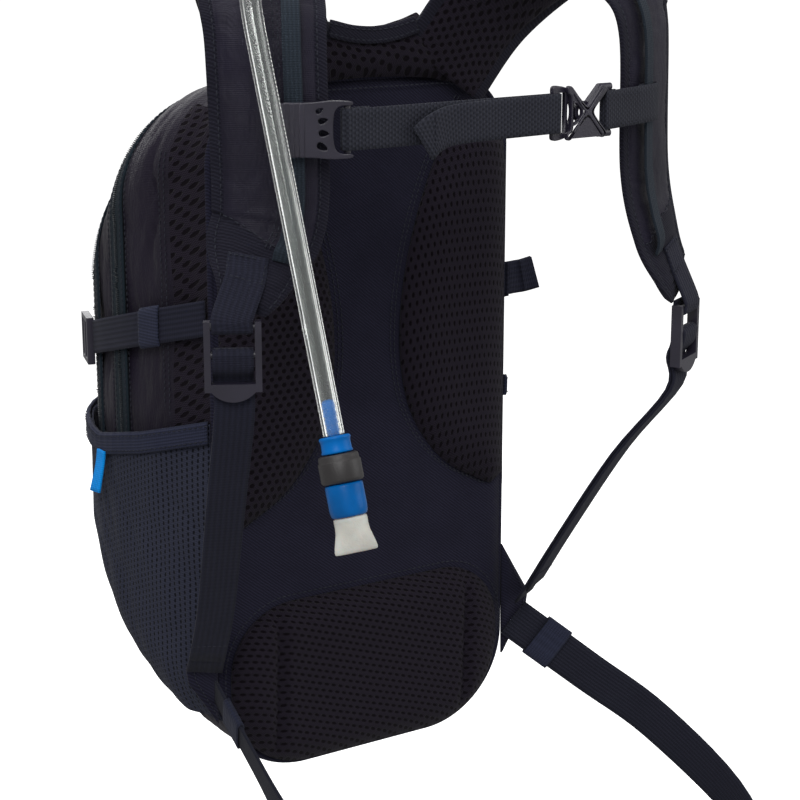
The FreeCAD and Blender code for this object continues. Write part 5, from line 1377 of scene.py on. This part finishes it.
# ---- reservoir and what holds it ----------------------------------------------------------------
# Inside the main compartment: a welded film water bag with a screw cap hangs from a hook on the
# frame sheet, and a barbed elbow at its foot feeds the drink tube.
water_film = moulded_finish("clear_film", "water_bag", (0.42, 0.56, 0.70), 0.22, 0.3, Transmission_Weight=0.35, IOR=1.4)
blue_moulding = moulded_finish("blue_moulding", "blue_plastic", (0.0002, 0.105, 0.36), 0.26, 0.06,
                               Specular_IOR_Level=0.12)
sheet_plastic = moulded_finish("frame_sheet_plastic", "sheet_plastic", (0.50, 0.50, 0.48), 0.45, 0.15)
rubber = moulded_finish("rubber_grommet", "grommet", (0.010, 0.010, 0.014), 0.62, 0.15)
loop_elastic = moulded_finish("loop_elastic", "elastic", (0.010, 0.011, 0.018), 0.82, 0.5)
for node, finish in (("reservoir", water_film), ("frame_sheet", sheet_plastic)):
    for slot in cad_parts[node].material_slots:
        slot.material = finish.material
for node, body, finish, radius in (("filler_cap", "cap", blue_moulding, 0.9), ("reservoir_hanger", "pack", acetal, 0.4),
                                   ("outlet_elbow", "pack", blue_moulding, 0.4), ("tube_port", "pack", rubber, 0.9),
                                   ("tube_keeper", "pack", loop_elastic, 0.5)):
    eased(node + "_cover", node, finish, body, radius)


# ---- drink tube ---------------------------------------------------------------------------------
# Clear flexible hose, 10 mm across, from the elbow up inside the compartment, out of the grommet,
# over the left strap's crest through its elastic loop, and down in front to the bite valve.
TUBE_D, TUBE_LENGTH = 0.010, 0.782
ROUTE = [(-14, 47, 8), (-44, 47, 10), (-68, 47, 30), (-78, 46, 66), (-76, 45, 130), (-70, 45, 215), (-62, 44.5, 290),
         (-59, 38, 330), (-66, 15, 380), (-82, -14, 410), (-104, -50, 424), (-124, -84, 422), (-136, -106, 398),
         (-135.1, -116.3, 366.5), (-130.5, -170, 202.5)]
clear_hose = Finish("clear_hose", "tube", Transmission_Weight=0.975, IOR=1.42, Specular_IOR_Level=0.8,
                    Sheen_Weight=0.75, Sheen_Roughness=0.22)
around, along, _ = clear_hose.millimetres("UV")
braid = (along + around * 0.9).wave(2.0)
haze = clear_hose.speckle(clear_hose.point(around, along * 0.08, 0.0), 0.3, 2.0)
clear_hose.paint(clear_hose.blend(haze.step(0.3, 0.7), (0.90, 0.94, 0.91), (0.95, 0.97, 0.95)),
                 haze * 0.02 + 0.01, braid, 0.016)
line = bpy.data.curves.new("drink_hose", "CURVE")
line.dimensions, line.resolution_u = "3D", 16
spline = line.splines.new("NURBS")
spline.points.add(len(ROUTE) - 1)
for place, at in zip(spline.points, ROUTE):
    place.co = (at[0] * 0.001, at[1] * 0.001, at[2] * 0.001, 1.0)
spline.order_u, spline.use_endpoint_u = 3, True
run = bpy.data.objects.new("drink_hose_line", line)
scene.collection.objects.link(run)
hose_path = [v.co.copy() for v in evaluated(run).vertices]
WALL_OUT, WALL_IN, SIDES = TUBE_D * 500, 3.3, 28
verts, uv = [], []
toward, gone = Vector((0, 1, 0)), 0.0
# One more ring just inside each end keeps the smooth wall from bending into the cut face.
rings_at = [hose_path[0], hose_path[0].lerp(hose_path[1], 0.03)] + hose_path[1:-1]
rings_at += [hose_path[-2].lerp(hose_path[-1], 0.97), hose_path[-1]]
for k, at in enumerate(rings_at):
    tangent = heading(rings_at, k)
    toward = (toward - tangent * toward.dot(tangent)).normalized()
    beside = tangent.cross(toward)
    gone += (at - rings_at[k - 1]).length * 1000 if k else 0.0
    for radius in (WALL_OUT, WALL_IN):
        for turn in (2 * math.pi * j / SIDES for j in range(SIDES)):
            verts.append(at * 1000 + (toward * math.cos(turn) + beside * math.sin(turn)) * radius)
            uv.append((turn * radius, gone))
hose = outward(build("drink_hose", verts, sleeve_faces(len(rings_at), SIDES), [clear_hose], "pack", uv=uv))
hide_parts("drink_tube")

# The bite valve on its end: blue barbed connector, grey turning collar, translucent blue body and a
# flattened silicone mouthpiece, each one moulding.
END = Vector(ROUTE[-1])
AXIS = (END - Vector(ROUTE[-3])).normalized()
SIDE = Vector((0.9, -0.42, 0.0))
SIDE = (SIDE - AXIS * SIDE.dot(AXIS)).normalized()
DEPTH = AXIS.cross(SIDE)


def turned_piece(name, profile, finish, body, node, fluted=0.0):
    """A moulding round the tube's axis: each ring is its distance from the tube's end and its radius,
    or its half width and half depth."""
    segments, verts = 40, []
    for distance, wide, *deep in profile:
        deep = deep[0] if deep else wide
        for turn in (2 * math.pi * j / segments for j in range(segments)):
            flute = 1.0 + fluted * math.cos(turn * 12)
            verts.append(END + AXIS * distance + SIDE * (wide * flute * math.cos(turn))
                         + DEPTH * (deep * flute * math.sin(turn)))
    obj = outward(build(name, verts, ring_faces(len(profile), segments), [finish], body))
    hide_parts(node)
    return obj


BARB_PITCH = 3.6
barbs = []
for start in (BARB_PITCH * k for k in range(4)):
    barbs += [(-15.5 + start, 2.8), (-12.6 + start, 3.27), (-12.3 + start, 2.8)]
# The barbs' faint glow stands for the light that the clear wall lets through to them.
barb_blue = moulded_finish("barb_blue", "blue_plastic", (0.0002, 0.105, 0.36), 0.26, 0.06, Specular_IOR_Level=0.12,
                           Emission_Color=(0.0, 0.10, 0.38, 1), Emission_Strength=0.3)
turned_piece("hose_barbs", [(-16.7, 1.0), (-16.5, 1.8), (-16.1, 2.4)] + barbs + [(0.2, 2.9)], barb_blue, "pack",
             "barb_connector")
connector = turned_piece(
    "barbed_connector", [(0.25, 2.9), (0.4, 6.6), (0.8, 7.3), (1.6, 7.5), (2.2, 7.2), (3.4, 7.0), (6.8, 7.1),
                         (7.8, 7.5), (8.3, 7.2), (8.5, 6.4), (8.6, 4.4), (22.4, 4.4)], blue_moulding, "pack", "barb_connector")
collar_plastic = moulded_finish("grey_collar", "collar_plastic", (0.019, 0.017, 0.0175), 0.42, 0.1)
collar = turned_piece(
    "turning_collar", [(8.85, 4.6), (8.9, 8.4), (9.2, 9.1), (9.9, 9.5), (11.9, 9.6), (12.1, 9.9), (12.6, 10.1),
                       (20.6, 10.1), (21.4, 9.9), (22.0, 9.3), (22.3, 8.2), (22.35, 4.6)],
    collar_plastic, "collar", "valve_collar", fluted=0.004)
blue_clear = moulded_finish("clear_blue", "blue_plastic", (0.0, 0.105, 0.355), 0.24, 0.04, Transmission_Weight=0.2,
                            IOR=1.45, Specular_IOR_Level=0.08)
housing = turned_piece(
    "valve_housing", [(22.6, 4.0), (22.65, 8.0), (23.1, 8.8), (24.0, 9.0), (33.5, 9.0), (35.2, 8.9), (36.6, 8.7),
                      (37.6, 8.3), (38.05, 7.6), (38.1, 3.0)], blue_clear, "pack", "valve_body")
silicone = moulded_finish("bite_silicone", "silicone", (0.50, 0.49, 0.45), 0.42, 0.2, Subsurface_Weight=0.12)
bite = turned_piece(
    "silicone_bite", [(38.15, 3.0, 3.0), (38.2, 7.2, 6.4), (38.8, 7.9, 6.8), (40.2, 8.0, 6.6), (42.5, 7.9, 5.9),
                      (45.5, 8.2, 5.0), (48.5, 9.0, 4.0), (51.5, 9.8, 3.1), (53.6, 10.2, 2.5), (54.6, 10.1, 2.0),
                      (55.05, 9.6, 1.4), (55.15, 8.2, 0.8)], silicone, "pack", "bite_mouthpiece")
slit = moulded_finish("bite_slit_shade", "silicone", (0.10, 0.10, 0.09), 0.6, 0.1)
SLIT_HALF, SLIT_GAP = 5.2, 0.18
verts = [END + AXIS * d + SIDE * u + DEPTH * w
         for d in (55.05, 55.3) for w in (-SLIT_GAP, SLIT_GAP) for u in (-SLIT_HALF, SLIT_HALF)]
slit_faces = [(0, 1, 3, 2), (4, 6, 7, 5), (0, 4, 5, 1), (2, 3, 7, 6), (0, 2, 6, 4), (1, 5, 7, 3)]
outward(build("bite_slit", verts, slit_faces, [slit], "pack"))
